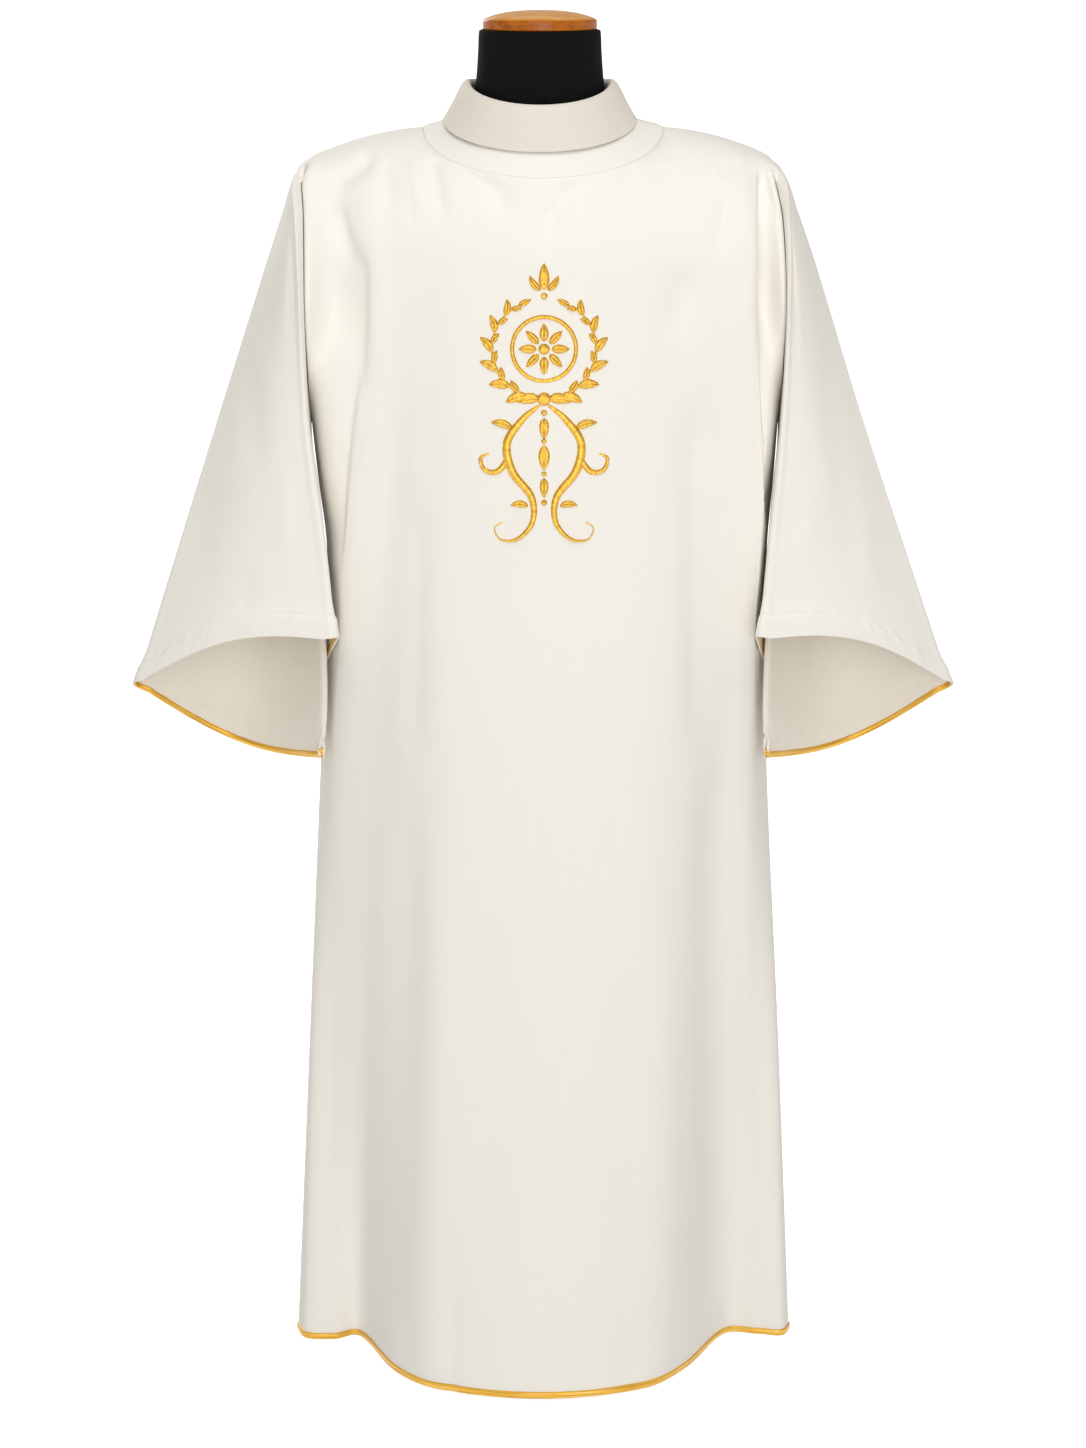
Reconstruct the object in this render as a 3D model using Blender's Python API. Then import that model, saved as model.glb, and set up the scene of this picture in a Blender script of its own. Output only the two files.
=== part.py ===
"""Dalmatic on a limbless dress form.

The garment is cut as front, back, two wide sleeves, a neck band and a turned-down collar, with a gold ribbon on
the outside of the hem and on the inside of each cuff. All cloth is a wall. Metres, +Z up, front towards -Y.
The origin is the centre of the box that holds everything, at the level of the floor.
"""
import math

import bpy
from mathutils import Vector

# ---------------------------------------------------------------- driving dimensions
CLOTH = 0.0020          # thickness of the garment's cloth
RIBBON = 0.0010         # thickness of the gold ribbon
SEAM_GAP = 0.0006       # between two pieces that are sewn together
FIT_GAP = 0.0003        # between two hard pieces that rest on each other
SEAT = 0.0006           # between the form's shoulders and the cloth that hangs on them

HEM_Z = 0.0215          # lower edge of the panels
RIBBON_WIDTH = 0.0064

NECK_X = -0.003         # the neck stands a little to the left of the middle
NECK_SIDE = 0.1148      # half width of the neck seam of the panels, at the shoulder
NECK_SIDE_Z = 1.2712
NECK_FRONT = 0.092      # depth of the neck seam in front of the shoulder line
NECK_BACK = 0.078
NECK_FRONT_SLOPE = 0.443
NECK_BACK_SLOPE = 0.06

SHOULDER_SLOPE = 0.06
SHOULDER_CURVE = 1.9

SHOULDER_LEVEL = 0.90   # how level the cloth starts at the shoulder seam: 0 straight to the chest, 1 flat
SHOULDER_ROLL = 0.657   # how much further it reaches forward before it turns down
EDGE_COLUMNS = 6        # columns over which a panel leaves the shape of its armhole

# Half the columns of a panel: the shoulder takes the first ones, the neck seam the others.
SHOULDER_COLUMNS = 8
NECK_COLUMNS = 7
HALF = SHOULDER_COLUMNS + NECK_COLUMNS

# The armhole seam from the shoulder's top to the underarm, front half; the back half has the opposite y.
ARMHOLE_COLUMNS = ("left_x", "right_x", "y", "z")
ARMHOLE = (
    (0.2225, 0.2125, 0.000, None),
    (0.2245, 0.2150, -0.020, 1.2420),
    (0.2265, 0.2175, -0.036, 1.2370),
    (0.2285, 0.2205, -0.051, 1.2255),
    (0.2262, 0.2262, -0.067, 1.1950),
    (0.2255, 0.2290, -0.080, 1.1500),
    (0.2258, 0.2305, -0.082, 1.1000),
    (0.2262, 0.2305, -0.056, 1.0450),
    (0.2262, 0.2300, -0.027, 1.0100),
    (0.2262, 0.2295, 0.000, 0.9850),
)
CHEST_ROW = 5           # the armhole row from which the panels hang straight down
GROOVE_ROW = 8          # the armhole row from which the body and the sleeve face each other
# How far each armhole row down to the chest lies along the way from the shoulder seam.
CHEST_SHARES = (0.0, 0.15, 0.27, 0.41, 0.66, 1.0)
SKIRT_LEVELS = (0.925, 0.840, 0.740, 0.615, 0.450, 0.240, HEM_Z)

# The side seam from the underarm to the hem.
SIDE_SEAM_COLUMNS = ("z", "left_x", "right_x", "y")
SIDE_SEAM = (
    (0.985, 0.2262, 0.2295, 0.000),
    (0.930, 0.2205, 0.2250, 0.008),
    (0.860, 0.2135, 0.2195, 0.014),
    (0.780, 0.2165, 0.2235, 0.018),
    (0.650, 0.2240, 0.2256, 0.018),
    (0.350, 0.2400, 0.2420, 0.012),
    (HEM_Z, 0.2588, 0.2598, 0.020),
)

# Features across half a panel, from the side seam to the middle, and the column where each one lies.
FEATURE_COLUMNS = {"seam": 0.0, "side": 1.5, "wing": 3.5, "valley": 5.5, "rise": 8.5, "brow": 11.0, "mid": 15.0}
SECTION_COLUMNS = ("z", "side_x", "side_y", "wing_x", "wing_y", "valley_x", "valley_y", "rise_x", "rise_y",
                   "brow_x", "brow_y", "mid_y")
FRONT_LEFT = (
    (1.150, 0.1990, -0.064, 0.1650, -0.084, 0.1420, -0.088, 0.1180, -0.094, 0.076, -0.104, -0.112),
    (1.100, 0.1985, -0.060, 0.1640, -0.085, 0.1400, -0.089, 0.1160, -0.095, 0.076, -0.106, -0.114),
    (1.040, 0.2040, -0.052, 0.1670, -0.083, 0.1400, -0.087, 0.1150, -0.095, 0.076, -0.107, -0.115),
    (0.985, 0.2060, -0.040, 0.1740, -0.076, 0.1430, -0.083, 0.1160, -0.095, 0.077, -0.108, -0.116),
    (0.860, 0.2030, -0.022, 0.1880, -0.056, 0.1520, -0.076, 0.1220, -0.096, 0.080, -0.109, -0.118),
    (0.650, 0.2190, -0.010, 0.2030, -0.036, 0.1640, -0.058, 0.1280, -0.092, 0.085, -0.113, -0.124),
    (0.350, 0.2350, -0.010, 0.2100, -0.022, 0.1760, -0.036, 0.1380, -0.090, 0.093, -0.120, -0.134),
    (HEM_Z, 0.2480, -0.004, 0.2180, -0.007, 0.1910, 0.0000, 0.1500, -0.086, 0.103, -0.128, -0.149),
)
FRONT_RIGHT = (
    (1.150, 0.2120, -0.068, 0.1980, -0.084, 0.1700, -0.088, 0.1360, -0.093, 0.085, -0.104, -0.112),
    (1.100, 0.2115, -0.064, 0.1985, -0.085, 0.1690, -0.088, 0.1340, -0.094, 0.085, -0.106, -0.114),
    (1.040, 0.2140, -0.056, 0.2000, -0.082, 0.1680, -0.086, 0.1330, -0.094, 0.085, -0.107, -0.115),
    (0.985, 0.2120, -0.042, 0.2025, -0.074, 0.1680, -0.082, 0.1340, -0.094, 0.086, -0.108, -0.116),
    (0.860, 0.2125, -0.022, 0.2045, -0.056, 0.1700, -0.074, 0.1360, -0.094, 0.088, -0.109, -0.118),
    (0.650, 0.2180, -0.008, 0.2050, -0.038, 0.1740, -0.056, 0.1380, -0.090, 0.090, -0.113, -0.124),
    (0.350, 0.2370, -0.010, 0.2130, -0.022, 0.1800, -0.034, 0.1430, -0.088, 0.096, -0.120, -0.134),
    (HEM_Z, 0.2500, 0.0020, 0.2240, 0.0060, 0.1900, 0.0060, 0.1450, -0.078, 0.101, -0.125, -0.149),
)
BACK_LEFT = (
    (1.150, 0.2020, 0.0680, 0.1760, 0.0830, 0.1480, 0.0880, 0.1180, 0.0940, 0.076, 0.1000, 0.101),
    (1.100, 0.2010, 0.0620, 0.1760, 0.0820, 0.1480, 0.0860, 0.1180, 0.0920, 0.076, 0.0980, 0.099),
    (1.040, 0.2080, 0.0560, 0.1780, 0.0780, 0.1480, 0.0820, 0.1180, 0.0880, 0.076, 0.0950, 0.096),
    (0.985, 0.2130, 0.0400, 0.1800, 0.0680, 0.1500, 0.0780, 0.1190, 0.0860, 0.077, 0.0930, 0.094),
    (0.860, 0.2130, 0.0400, 0.1900, 0.0580, 0.1560, 0.0740, 0.1230, 0.0880, 0.080, 0.0980, 0.100),
    (0.650, 0.2190, 0.0340, 0.2050, 0.0480, 0.1680, 0.0640, 0.1300, 0.0940, 0.086, 0.1120, 0.116),
    (0.350, 0.2350, 0.0300, 0.2120, 0.0380, 0.1800, 0.0520, 0.1400, 0.0980, 0.094, 0.1260, 0.133),
    (HEM_Z, 0.2490, 0.0360, 0.2200, 0.0330, 0.1930, 0.0330, 0.1500, 0.1020, 0.104, 0.1380, 0.149),
)
BACK_RIGHT = (
    (1.150, 0.2080, 0.0690, 0.1820, 0.0820, 0.1520, 0.0880, 0.1200, 0.0940, 0.078, 0.1000, 0.101),
    (1.100, 0.2070, 0.0640, 0.1820, 0.0810, 0.1510, 0.0860, 0.1200, 0.0920, 0.078, 0.0980, 0.099),
    (1.040, 0.2120, 0.0560, 0.1860, 0.0770, 0.1520, 0.0820, 0.1200, 0.0880, 0.078, 0.0950, 0.096),
    (0.985, 0.2170, 0.0400, 0.1900, 0.0660, 0.1550, 0.0780, 0.1210, 0.0860, 0.079, 0.0930, 0.094),
    (0.860, 0.2190, 0.0400, 0.2040, 0.0560, 0.1620, 0.0720, 0.1260, 0.0880, 0.082, 0.0980, 0.100),
    (0.650, 0.2215, 0.0330, 0.2080, 0.0470, 0.1720, 0.0620, 0.1330, 0.0930, 0.088, 0.1120, 0.116),
    (0.350, 0.2370, 0.0300, 0.2140, 0.0360, 0.1830, 0.0480, 0.1420, 0.0950, 0.096, 0.1260, 0.133),
    (HEM_Z, 0.2500, 0.0370, 0.2220, 0.0340, 0.1920, 0.0300, 0.1470, 0.0980, 0.103, 0.1360, 0.149),
)

# A sleeve hangs from its armhole as a flattened tube. Going round it: the underarm seam, the side that faces the
# body, the front fold, the front layer, the outer fold, the back layer, the inner fold and the seam again.
SLEEVE_COLUMNS = ("row", "out_x", "out_z", "fold_x", "fold_y", "fold_z", "belly", "rise",
                  "in_x", "in_y", "in_z", "sag", "drop")
SLEEVE_LEFT = (
    (1, 0.2390, 1.2245, 0.2365, -0.056, 1.2262, 0.004, 0.000, 0.2365, 0.056, 1.2262, 0.004, 0.000),
    (3, 0.2645, 1.1500, 0.2315, -0.091, 1.1500, 0.010, 0.000, 0.2320, 0.089, 1.1500, 0.012, 0.000),
    (7, 0.3195, 0.9850, 0.2170, -0.101, 0.9850, 0.016, 0.004, 0.2360, 0.082, 0.9850, 0.018, 0.004),
    (9.5, 0.3630, 0.8530, 0.2055, -0.102, 0.8900, 0.016, 0.012, 0.2400, -0.012, 0.8250, 0.044, 0.018),
    (11, 0.3887, 0.7739, 0.2011, -0.104, 0.8330, 0.014, 0.018, 0.2215, -0.028, 0.7240, 0.055, 0.028),
    (12, 0.4058, 0.7212, 0.1985, -0.105, 0.7950, 0.012, 0.022, 0.2165, -0.033, 0.6560, 0.062, 0.034),
)
SLEEVE_RIGHT = (
    (1, 0.2320, 1.2265, 0.2295, -0.056, 1.2262, 0.004, 0.000, 0.2295, 0.056, 1.2262, 0.004, 0.000),
    (3, 0.2605, 1.1500, 0.2325, -0.090, 1.1500, 0.010, 0.000, 0.2330, 0.089, 1.1500, 0.012, 0.000),
    (7, 0.3140, 0.9850, 0.2215, -0.101, 0.9850, 0.016, 0.004, 0.2395, 0.082, 0.9850, 0.018, 0.004),
    (9.5, 0.3600, 0.8530, 0.2130, -0.102, 0.8900, 0.016, 0.012, 0.2460, -0.012, 0.8250, 0.044, 0.018),
    (11, 0.3875, 0.7739, 0.2093, -0.104, 0.8336, 0.014, 0.018, 0.2260, -0.028, 0.7240, 0.055, 0.028),
    (12, 0.4058, 0.7212, 0.2070, -0.105, 0.7960, 0.012, 0.022, 0.2212, -0.033, 0.6560, 0.062, 0.034),
)
# The side that faces the body runs straight from the armhole to the front fold; these are its two bends, as shares
# of that way. Below the underarm it has places of its own, and so has the underarm seam.
SIDE_SHARES = (0.28, 0.60)
LOWER_COLUMNS = ("row", "side_x", "side_y", "side_z", "turn_x", "turn_y", "turn_z", "seam_x", "seam_y", "seam_z")
LOWER_LEFT = (
    (7, 0.2207, -0.0606, 0.9850, 0.2236, -0.0283, 0.9850, 0.2262, 0.000, 0.9850),
    (9.5, 0.2110, -0.0500, 0.8700, 0.2180, -0.0100, 0.8580, 0.2480, 0.056, 0.8425),
    (11, 0.2085, -0.0440, 0.8180, 0.2150, -0.0088, 0.7990, 0.2450, 0.052, 0.7580),
    (12, 0.2070, -0.0400, 0.7800, 0.2125, -0.0080, 0.7580, 0.2430, 0.048, 0.7030),
)
LOWER_RIGHT = (
    (7, 0.2247, -0.0606, 0.9850, 0.2273, -0.0283, 0.9850, 0.2295, 0.000, 0.9850),
    (9.5, 0.2180, -0.0500, 0.8700, 0.2235, -0.0100, 0.8580, 0.2540, 0.056, 0.8425),
    (11, 0.2145, -0.0450, 0.8180, 0.2190, -0.0088, 0.7990, 0.2500, 0.052, 0.7580),
    (12, 0.2125, -0.0420, 0.7800, 0.2162, -0.0080, 0.7580, 0.2470, 0.0480, 0.7040),
)
SLEEVE_ROWS = 12
UNDERARM_ROW = 7
FOLD_WIDTH = 0.008      # between the two layers at a sleeve's sharp folds
PLEAT_WIDTH = 0.020     # and at the hidden pleat along its underarm seam
FRONT_FOLD = 0.012      # radii of its soft bends
SIDE_BEND = 0.012

# Rings of the collar, from the foot of the stand over the roll to the lower edge of the fall.
COLLAR_COLUMNS = ("half_width", "front", "back", "side_z", "front_z", "back_z")
BAND_FOOT = (0.0740, 0.0735, 0.0680, 1.2820, 1.2600, 1.2900)
COLLAR = (
    (0.0740, 0.0735, 0.0680, 1.2825, 1.2605, 1.2905),
    (0.0690, 0.0705, 0.0660, 1.2985, 1.2790, 1.3010),
    (0.0655, 0.0690, 0.0645, 1.3105, 1.2905, 1.3080),
    (0.0664, 0.0698, 0.0655, 1.3145, 1.2945, 1.3115),
    (0.0694, 0.0728, 0.0689, 1.3160, 1.2960, 1.3130),
    (0.0748, 0.0762, 0.0730, 1.3110, 1.2915, 1.3085),
    (0.0838, 0.0793, 0.0785, 1.2940, 1.2715, 1.2950),
    (0.0925, 0.0822, 0.0835, 1.2797, 1.2537, 1.2835),
)
AROUND_NECK = 4 * NECK_COLUMNS
BAND_ROWS = 2
BAND_HOLLOW = 0.0006

# The dress form. Under the shoulders it follows the garment's own points; the neck and the torso are rings.
FORM_EASE = (0.0, 0.0036, 0.0062, 0.0080, 0.0090, 0.0090)       # further room for each armhole row
FORM_BLEND = (0.0, 0.0, 0.15, 0.5, 1.0, 1.0)                    # how far each row takes the torso's own shape
FORM_NECK = (
    (0.0555, 0.0555, 0.0555, 1.3620, 1.3620, 1.3620),
    (0.0573, 0.0573, 0.0573, 1.3605, 1.3605, 1.3605),
    (0.0582, 0.0582, 0.0582, 1.3430, 1.3430, 1.3430),
    (0.0600, 0.0600, 0.0600, 1.3180, 1.3180, 1.3180),
    (0.0620, 0.0620, 0.0605, 1.3040, 1.3000, 1.3060),
    (0.0645, 0.0635, 0.0615, 1.2920, 1.2790, 1.2980),
    (0.0690, 0.0675, 0.0620, 1.2785, 1.2550, 1.2870),
)
FORM_COLUMNS = ("z", "half_width", "front", "back")
FORM_TORSO = (
    (1.2400, 0.2070, 0.0830, 0.0760),
    (1.1950, 0.2000, 0.0920, 0.0830),
    (1.1500, 0.1860, 0.0990, 0.0860),
    (1.0900, 0.1700, 0.1020, 0.0860),
    (1.0200, 0.1590, 0.1000, 0.0830),
    (0.9400, 0.1490, 0.0950, 0.0800),
    (0.8600, 0.1450, 0.0920, 0.0810),
    (0.7700, 0.1540, 0.0940, 0.0880),
    (0.6700, 0.1600, 0.0960, 0.0930),
    (0.6300, 0.1580, 0.0940, 0.0920),
    (0.6200, 0.1500, 0.0880, 0.0860),
)
FORM_TORSO_START = 3    # the first torso ring below the chest row

# The wood cap on the neck: radius and height above the neck.
CAP_PROFILE = ((0.0000, 0.0000), (0.0525, 0.0000), (0.0542, 0.0014), (0.0542, 0.0084), (0.0528, 0.0098),
               (0.0470, 0.0124), (0.0370, 0.0150), (0.0240, 0.0169), (0.0110, 0.0178), (0.0000, 0.0180))
CAP_AROUND = 32

# The stand: a pole with a flange under the form, in the socket of a round base.
POLE_Y = 0.012
POLE_RADIUS = 0.0150
FLANGE_RADIUS = 0.0450
FLANGE_HEIGHT = 0.0060
BASE_RADIUS = 0.1150
BASE_RIM = 0.0050
BASE_CROWN = 0.0090
HUB_RADIUS = 0.0240
HUB_HEIGHT = 0.0450
SOCKET_FLOOR = 0.0030
STAND_AROUND = 32

IVORY = (0.86, 0.83, 0.76)
GOLD = (0.72, 0.42, 0.05)
BLACK = (0.010, 0.010, 0.011)
AMBER = (0.55, 0.24, 0.045)
STEEL = (0.05, 0.05, 0.055)


# ---------------------------------------------------------------- small tools
def material(name, colour, roughness, metallic=0.0):
    found = bpy.data.materials.new(name)
    found.use_nodes = True
    shader = found.node_tree.nodes["Principled BSDF"]
    shader.inputs["Base Color"].default_value = (*colour, 1.0)
    shader.inputs["Roughness"].default_value = roughness
    shader.inputs["Metallic"].default_value = metallic
    return found


def add_object(name, points, faces, finish, smooth_below=40):
    mesh = bpy.data.meshes.new(name)
    mesh.from_pydata([tuple(point) for point in points], [], faces)
    mesh.materials.append(finish)
    mesh.shade_smooth()
    mesh.set_sharp_from_angle(angle=math.radians(smooth_below))
    made = bpy.data.objects.new(name, mesh)
    bpy.context.scene.collection.objects.link(made)
    return made


def smooth_through(knots, values, at):
    """Value at a place between knots, on a cubic curve that passes through the values."""
    last = len(knots) - 1
    rising = knots[-1] > knots[0]
    span = 0
    while span < last - 1 and (at > knots[span + 1] if rising else at < knots[span + 1]):
        span += 1

    def slope(i):
        low, high = max(i - 1, 0), min(i + 1, last)
        return (values[high] - values[low]) / (knots[high] - knots[low])

    width = knots[span + 1] - knots[span]
    share = (at - knots[span]) / width
    start, end = values[span], values[span + 1]
    return hermite(start, end, slope(span) * width, slope(span + 1) * width, share)


def hermite(start, end, start_pull, end_pull, share):
    square, cube = share * share, share ** 3
    return (start * (2 * cube - 3 * square + 1) + start_pull * (cube - 2 * square + share)
            + end * (3 * square - 2 * cube) + end_pull * (cube - square))


def column(names, rows, name):
    place = names.index(name)
    return [row[place] for row in rows]


def read(names, rows, name, at):
    """A named column of a table at any place along its first column."""
    return smooth_through(column(names, rows, names[0]), column(names, rows, name), at)


def shoulder_z(x):
    beyond = max(abs(x) - NECK_SIDE, 0.0)
    return NECK_SIDE_Z - SHOULDER_SLOPE * beyond - SHOULDER_CURVE * beyond * beyond


# ---------------------------------------------------------------- seams that the pieces share
def armhole(side, facing):
    """Points of the armhole seam from the shoulder's top to the underarm; side and facing are -1 or +1."""
    points = []
    for left_x, right_x, y, z in ARMHOLE:
        x = left_x if side < 0 else right_x
        points.append(Vector((side * x, -facing * y, shoulder_z(x) if z is None else z)))
    return points


def seam_place(side, facing, z):
    """Distance from the middle and depth of a panel's edge at a level; facing has the sign of the panel's y."""
    column_name = "left_x" if side < 0 else "right_x"
    if z <= SIDE_SEAM[0][0]:
        return (read(SIDE_SEAM_COLUMNS, SIDE_SEAM, column_name, z), read(SIDE_SEAM_COLUMNS, SIDE_SEAM, "y", z))
    row = next(row for row in ARMHOLE if row[3] == z)
    return (row[ARMHOLE_COLUMNS.index(column_name)], math.copysign(row[2], facing))


def neck_seam(angle, facing):
    """Point of the panels' neck seam; angle 0 is at the left shoulder and pi at the right one."""
    depth = NECK_FRONT if facing < 0 else NECK_BACK
    slope = NECK_FRONT_SLOPE if facing < 0 else NECK_BACK_SLOPE
    y = facing * depth * math.sin(angle)
    return Vector((-NECK_SIDE * math.cos(angle), y, NECK_SIDE_Z + slope * y))


# ---------------------------------------------------------------- panels
def section_point(tables, facing_column, z):
    """Point of a panel at a column, counted from the left side seam, and a level."""
    side = -1 if facing_column <= HALF else 1
    table = tables[0] if side < 0 else tables[1]
    names = list(FEATURE_COLUMNS)
    own = {}
    for name in names[1:]:
        x = 0.0 if name == "mid" else read(SECTION_COLUMNS, table, name + "_x", z)
        own[name] = (x, read(SECTION_COLUMNS, table, name + "_y", z))
    own["seam"] = seam_place(side, table[0][-1], z)
    knots = [FEATURE_COLUMNS[name] for name in names]
    beyond = [2 * HALF - knot for knot in reversed(knots[:-1])]
    place = facing_column if side < 0 else 2 * HALF - facing_column
    xs = [-own[name][0] for name in names] + [own[name][0] for name in reversed(names[:-1])]
    ys = [own[name][1] for name in names] + [own[name][1] for name in reversed(names[:-1])]
    x = smooth_through(knots + beyond, xs, place)
    y = smooth_through(knots + beyond, ys, place)
    return Vector((-side * x, y, z))


def panel(tables, facing):
    """Rows of points of the front (facing -1) or the back (+1), from the shoulders to the hem."""
    columns = range(2 * HALF + 1)
    holes = (armhole(-1, facing), armhole(1, facing))
    top = []
    for i in columns:
        if SHOULDER_COLUMNS <= i <= 2 * HALF - SHOULDER_COLUMNS:
            angle = math.pi * (i - SHOULDER_COLUMNS) / (2 * NECK_COLUMNS)
            top.append(neck_seam(angle, facing))
        else:
            side = -1 if i < HALF else 1
            tip = holes[0][0].x if side < 0 else holes[1][0].x
            share = i / SHOULDER_COLUMNS if side < 0 else (2 * HALF - i) / SHOULDER_COLUMNS
            x = tip + (side * NECK_SIDE - tip) * share
            top.append(Vector((x, 0.0, shoulder_z(x))))
    chest_z = ARMHOLE[CHEST_ROW][3]
    chest = [section_point(tables, i, chest_z) for i in columns]
    below = [section_point(tables, i, ARMHOLE[CHEST_ROW + 1][3]) for i in columns]

    def draped(i, share):
        """From the shoulder or neck seam over the shoulder and down to the chest."""
        way = chest[i] - top[i]
        edge = min(i, 2 * HALF - i)
        angle = math.pi / 2 * max(edge - SHOULDER_COLUMNS, 0) / NECK_COLUMNS
        level = SHOULDER_LEVEL * math.cos(angle)
        over = SHOULDER_ROLL * level
        start = Vector((way.x, way.y * (1 + over), way.z * (1 - level)))
        falling = (below[i] - chest[i]) * (way.z / (below[i].z - chest[i].z)) * (1 + over)
        return hermite(top[i], chest[i], start, falling, share)

    rows = [top]
    for k in range(1, CHEST_ROW + 1):
        share = CHEST_SHARES[k]
        row = []
        for i in columns:
            edge = min(i, 2 * HALF - i)
            hole = holes[0] if i <= HALF else holes[1]
            border = 0 if i <= HALF else 2 * HALF
            near = max(0.0, 1.0 - edge / EDGE_COLUMNS) ** 2
            row.append(draped(i, share) + near * (hole[k] - draped(border, share)))
        rows.append(row)
    levels = [row[3] for row in ARMHOLE[CHEST_ROW + 1:]] + list(SKIRT_LEVELS)
    rows += [[section_point(tables, i, z) for i in columns] for z in levels]
    return rows


# ---------------------------------------------------------------- sleeves
def rounded_path(corners, radii, runs, bends, bows):
    """Points along straight or bowed runs with rounded corners between them.

    runs and bends are the steps of each run and of each corner; bows is the offset of each run's middle.
    """
    def bend(i):
        here = corners[i]
        before, after = corners[i - 1] - here, corners[i + 1] - here
        start = here + before.normalized() * min(radii[i], 0.45 * before.length)
        end = here + after.normalized() * min(radii[i], 0.45 * after.length)
        return start, end

    points = []
    for run in range(len(corners) - 1):
        start = corners[0] if run == 0 else bend(run)[1]
        end = corners[-1] if run == len(corners) - 2 else bend(run + 1)[0]
        steps = runs[run]
        for k in range(steps + 1):
            share = k / steps
            points.append(start.lerp(end, share) + bows[run] * math.sin(math.pi * share))
        if run < len(corners) - 2:
            turn_start, turn_end = bend(run + 1)
            steps = bends[run + 1]
            for k in range(1, steps):
                share = k / steps
                first = turn_start.lerp(corners[run + 1], share)
                second = corners[run + 1].lerp(turn_end, share)
                points.append(first.lerp(second, share))
    return points


# Steps of each run between two corners of a sleeve's section, and of the bend at each corner.
SLEEVE_RUNS = (1, 1, 2, 1, 4, 1, 4, 1, 2, 1)
SLEEVE_BENDS = (0, 1, 1, 1, 3, 2, 2, 2, 2, 1, 0)
OUTER_CORNER = 5        # the first of the outer fold's two corners
OUTER_COLUMN = sum(SLEEVE_RUNS[:OUTER_CORNER]) + sum(SLEEVE_BENDS[:OUTER_CORNER + 1]) + 1


def sleeve_corners(tables, side, row, hole):
    """Corners of a sleeve's section, from the seam round the outer fold to the seam again, and its two bows."""
    def place(names, table, name):
        numbers = [read(names, table, name + axis, row) for axis in ("_x", "_y", "_z")]
        return Vector((side * numbers[0], numbers[1], numbers[2]))

    def value(name):
        return read(SLEEVE_COLUMNS, tables[0], name, row)

    half = FOLD_WIDTH / 2
    belly = Vector((0.0, -value("belly"), value("rise")))
    sag = Vector((0.0, value("sag"), -value("drop")))
    outer_front = Vector((side * value("out_x"), -half, value("out_z")))
    outer_back = Vector((side * value("out_x"), half, value("out_z")))
    fold = place(SLEEVE_COLUMNS, tables[0], "fold")
    inner = place(SLEEVE_COLUMNS, tables[0], "in")
    if row <= UNDERARM_ROW:
        seam_front, seam_back = hole
        turn, bend = (seam_front.lerp(fold, share) for share in SIDE_SHARES)
    else:
        turn, bend, seam_front = (place(LOWER_COLUMNS, tables[1], name) for name in ("turn", "side", "seam"))
        seam_back = seam_front
    to_back = (outer_back - inner + math.pi * sag).normalized()
    across = ((seam_back - inner).normalized() - to_back).normalized()
    inner_back, inner_side = inner - across * half, inner + across * half
    to_turn = (turn - seam_front).normalized()
    to_inner = (inner_side - seam_back).normalized()
    if row <= UNDERARM_ROW:
        near_front, near_back = seam_front + to_turn * half / 2, seam_back + to_inner * half
    else:
        legs, apart = (to_turn + to_inner) / 2, (to_turn - to_inner).to_2d().normalized().to_3d()
        near_front = seam_front + (legs + apart) * PLEAT_WIDTH / 2
        near_back = seam_back + (legs - apart) * PLEAT_WIDTH / 2
    corners = [seam_front, near_front, turn, bend, fold, outer_front, outer_back,
               inner_back, inner_side, near_back, seam_back]
    return corners, belly, sag


def sleeve(tables, side):
    """Rows of points of a sleeve, from the armhole to the cuff."""
    front_hole, back_hole = armhole(side, -1), armhole(side, 1)
    half = FOLD_WIDTH / 2
    radii = (0.0, half, SIDE_BEND, SIDE_BEND, FRONT_FOLD, half, half, half, half, half, 0.0)
    rows = []
    for row in range(1, SLEEVE_ROWS + 1):
        hole = (front_hole[row + 2], back_hole[row + 2]) if row <= UNDERARM_ROW else None
        corners, belly, sag = sleeve_corners(tables, side, row, hole)
        bows = [Vector()] * len(SLEEVE_RUNS)
        bows[OUTER_CORNER - 1] = belly
        bows[OUTER_CORNER + 1] = sag
        rows.append(rounded_path(corners, radii, SLEEVE_RUNS, SLEEVE_BENDS, bows))

    count = len(rows[0])
    stops = (0, OUTER_COLUMN // 2, OUTER_COLUMN, (OUTER_COLUMN + count - 1) // 2, count - 1)
    path = (front_hole[2], front_hole[1], front_hole[0], back_hole[1], back_hole[2])
    top = []
    for n in range(len(stops) - 1):
        steps = stops[n + 1] - stops[n]
        top += [path[n].lerp(path[n + 1], k / steps) for k in range(steps)]
    return [top + [path[-1]]] + rows


# ---------------------------------------------------------------- neck band and collar
def neck_ring(sizes, angle):
    """A ring round the neck; angle 0 is at the left, pi/2 in front."""
    half_width, front, back, side_z, front_z, back_z = sizes
    sine = math.sin(angle)
    depth, level = (front, front_z) if sine > 0 else (back, back_z)
    x = NECK_X - half_width * math.cos(angle)
    return Vector((x, -depth * sine, side_z + (level - side_z) * abs(sine)))


def neck_band():
    rows = []
    for k in range(BAND_ROWS + 1):
        share = k / BAND_ROWS
        row = []
        for j in range(AROUND_NECK + 1):
            angle = 2 * math.pi * j / AROUND_NECK
            inner = neck_ring(BAND_FOOT, angle)
            outer = neck_seam(angle, -1) if math.sin(angle) >= 0 else neck_seam(-angle, 1)
            hollow = Vector((0.0, 0.0, -BAND_HOLLOW * math.sin(math.pi * share)))
            row.append(inner.lerp(outer, share) + hollow)
        rows.append(row)
    return rows


def collar():
    rows = []
    for sizes in COLLAR:
        angles = (2 * math.pi * j / AROUND_NECK for j in range(AROUND_NECK + 1))
        rows.append([neck_ring(sizes, angle) for angle in angles])
    return rows


# ---------------------------------------------------------------- cloth walls
def key(point):
    return tuple(round(value, 6) for value in point)


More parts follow.
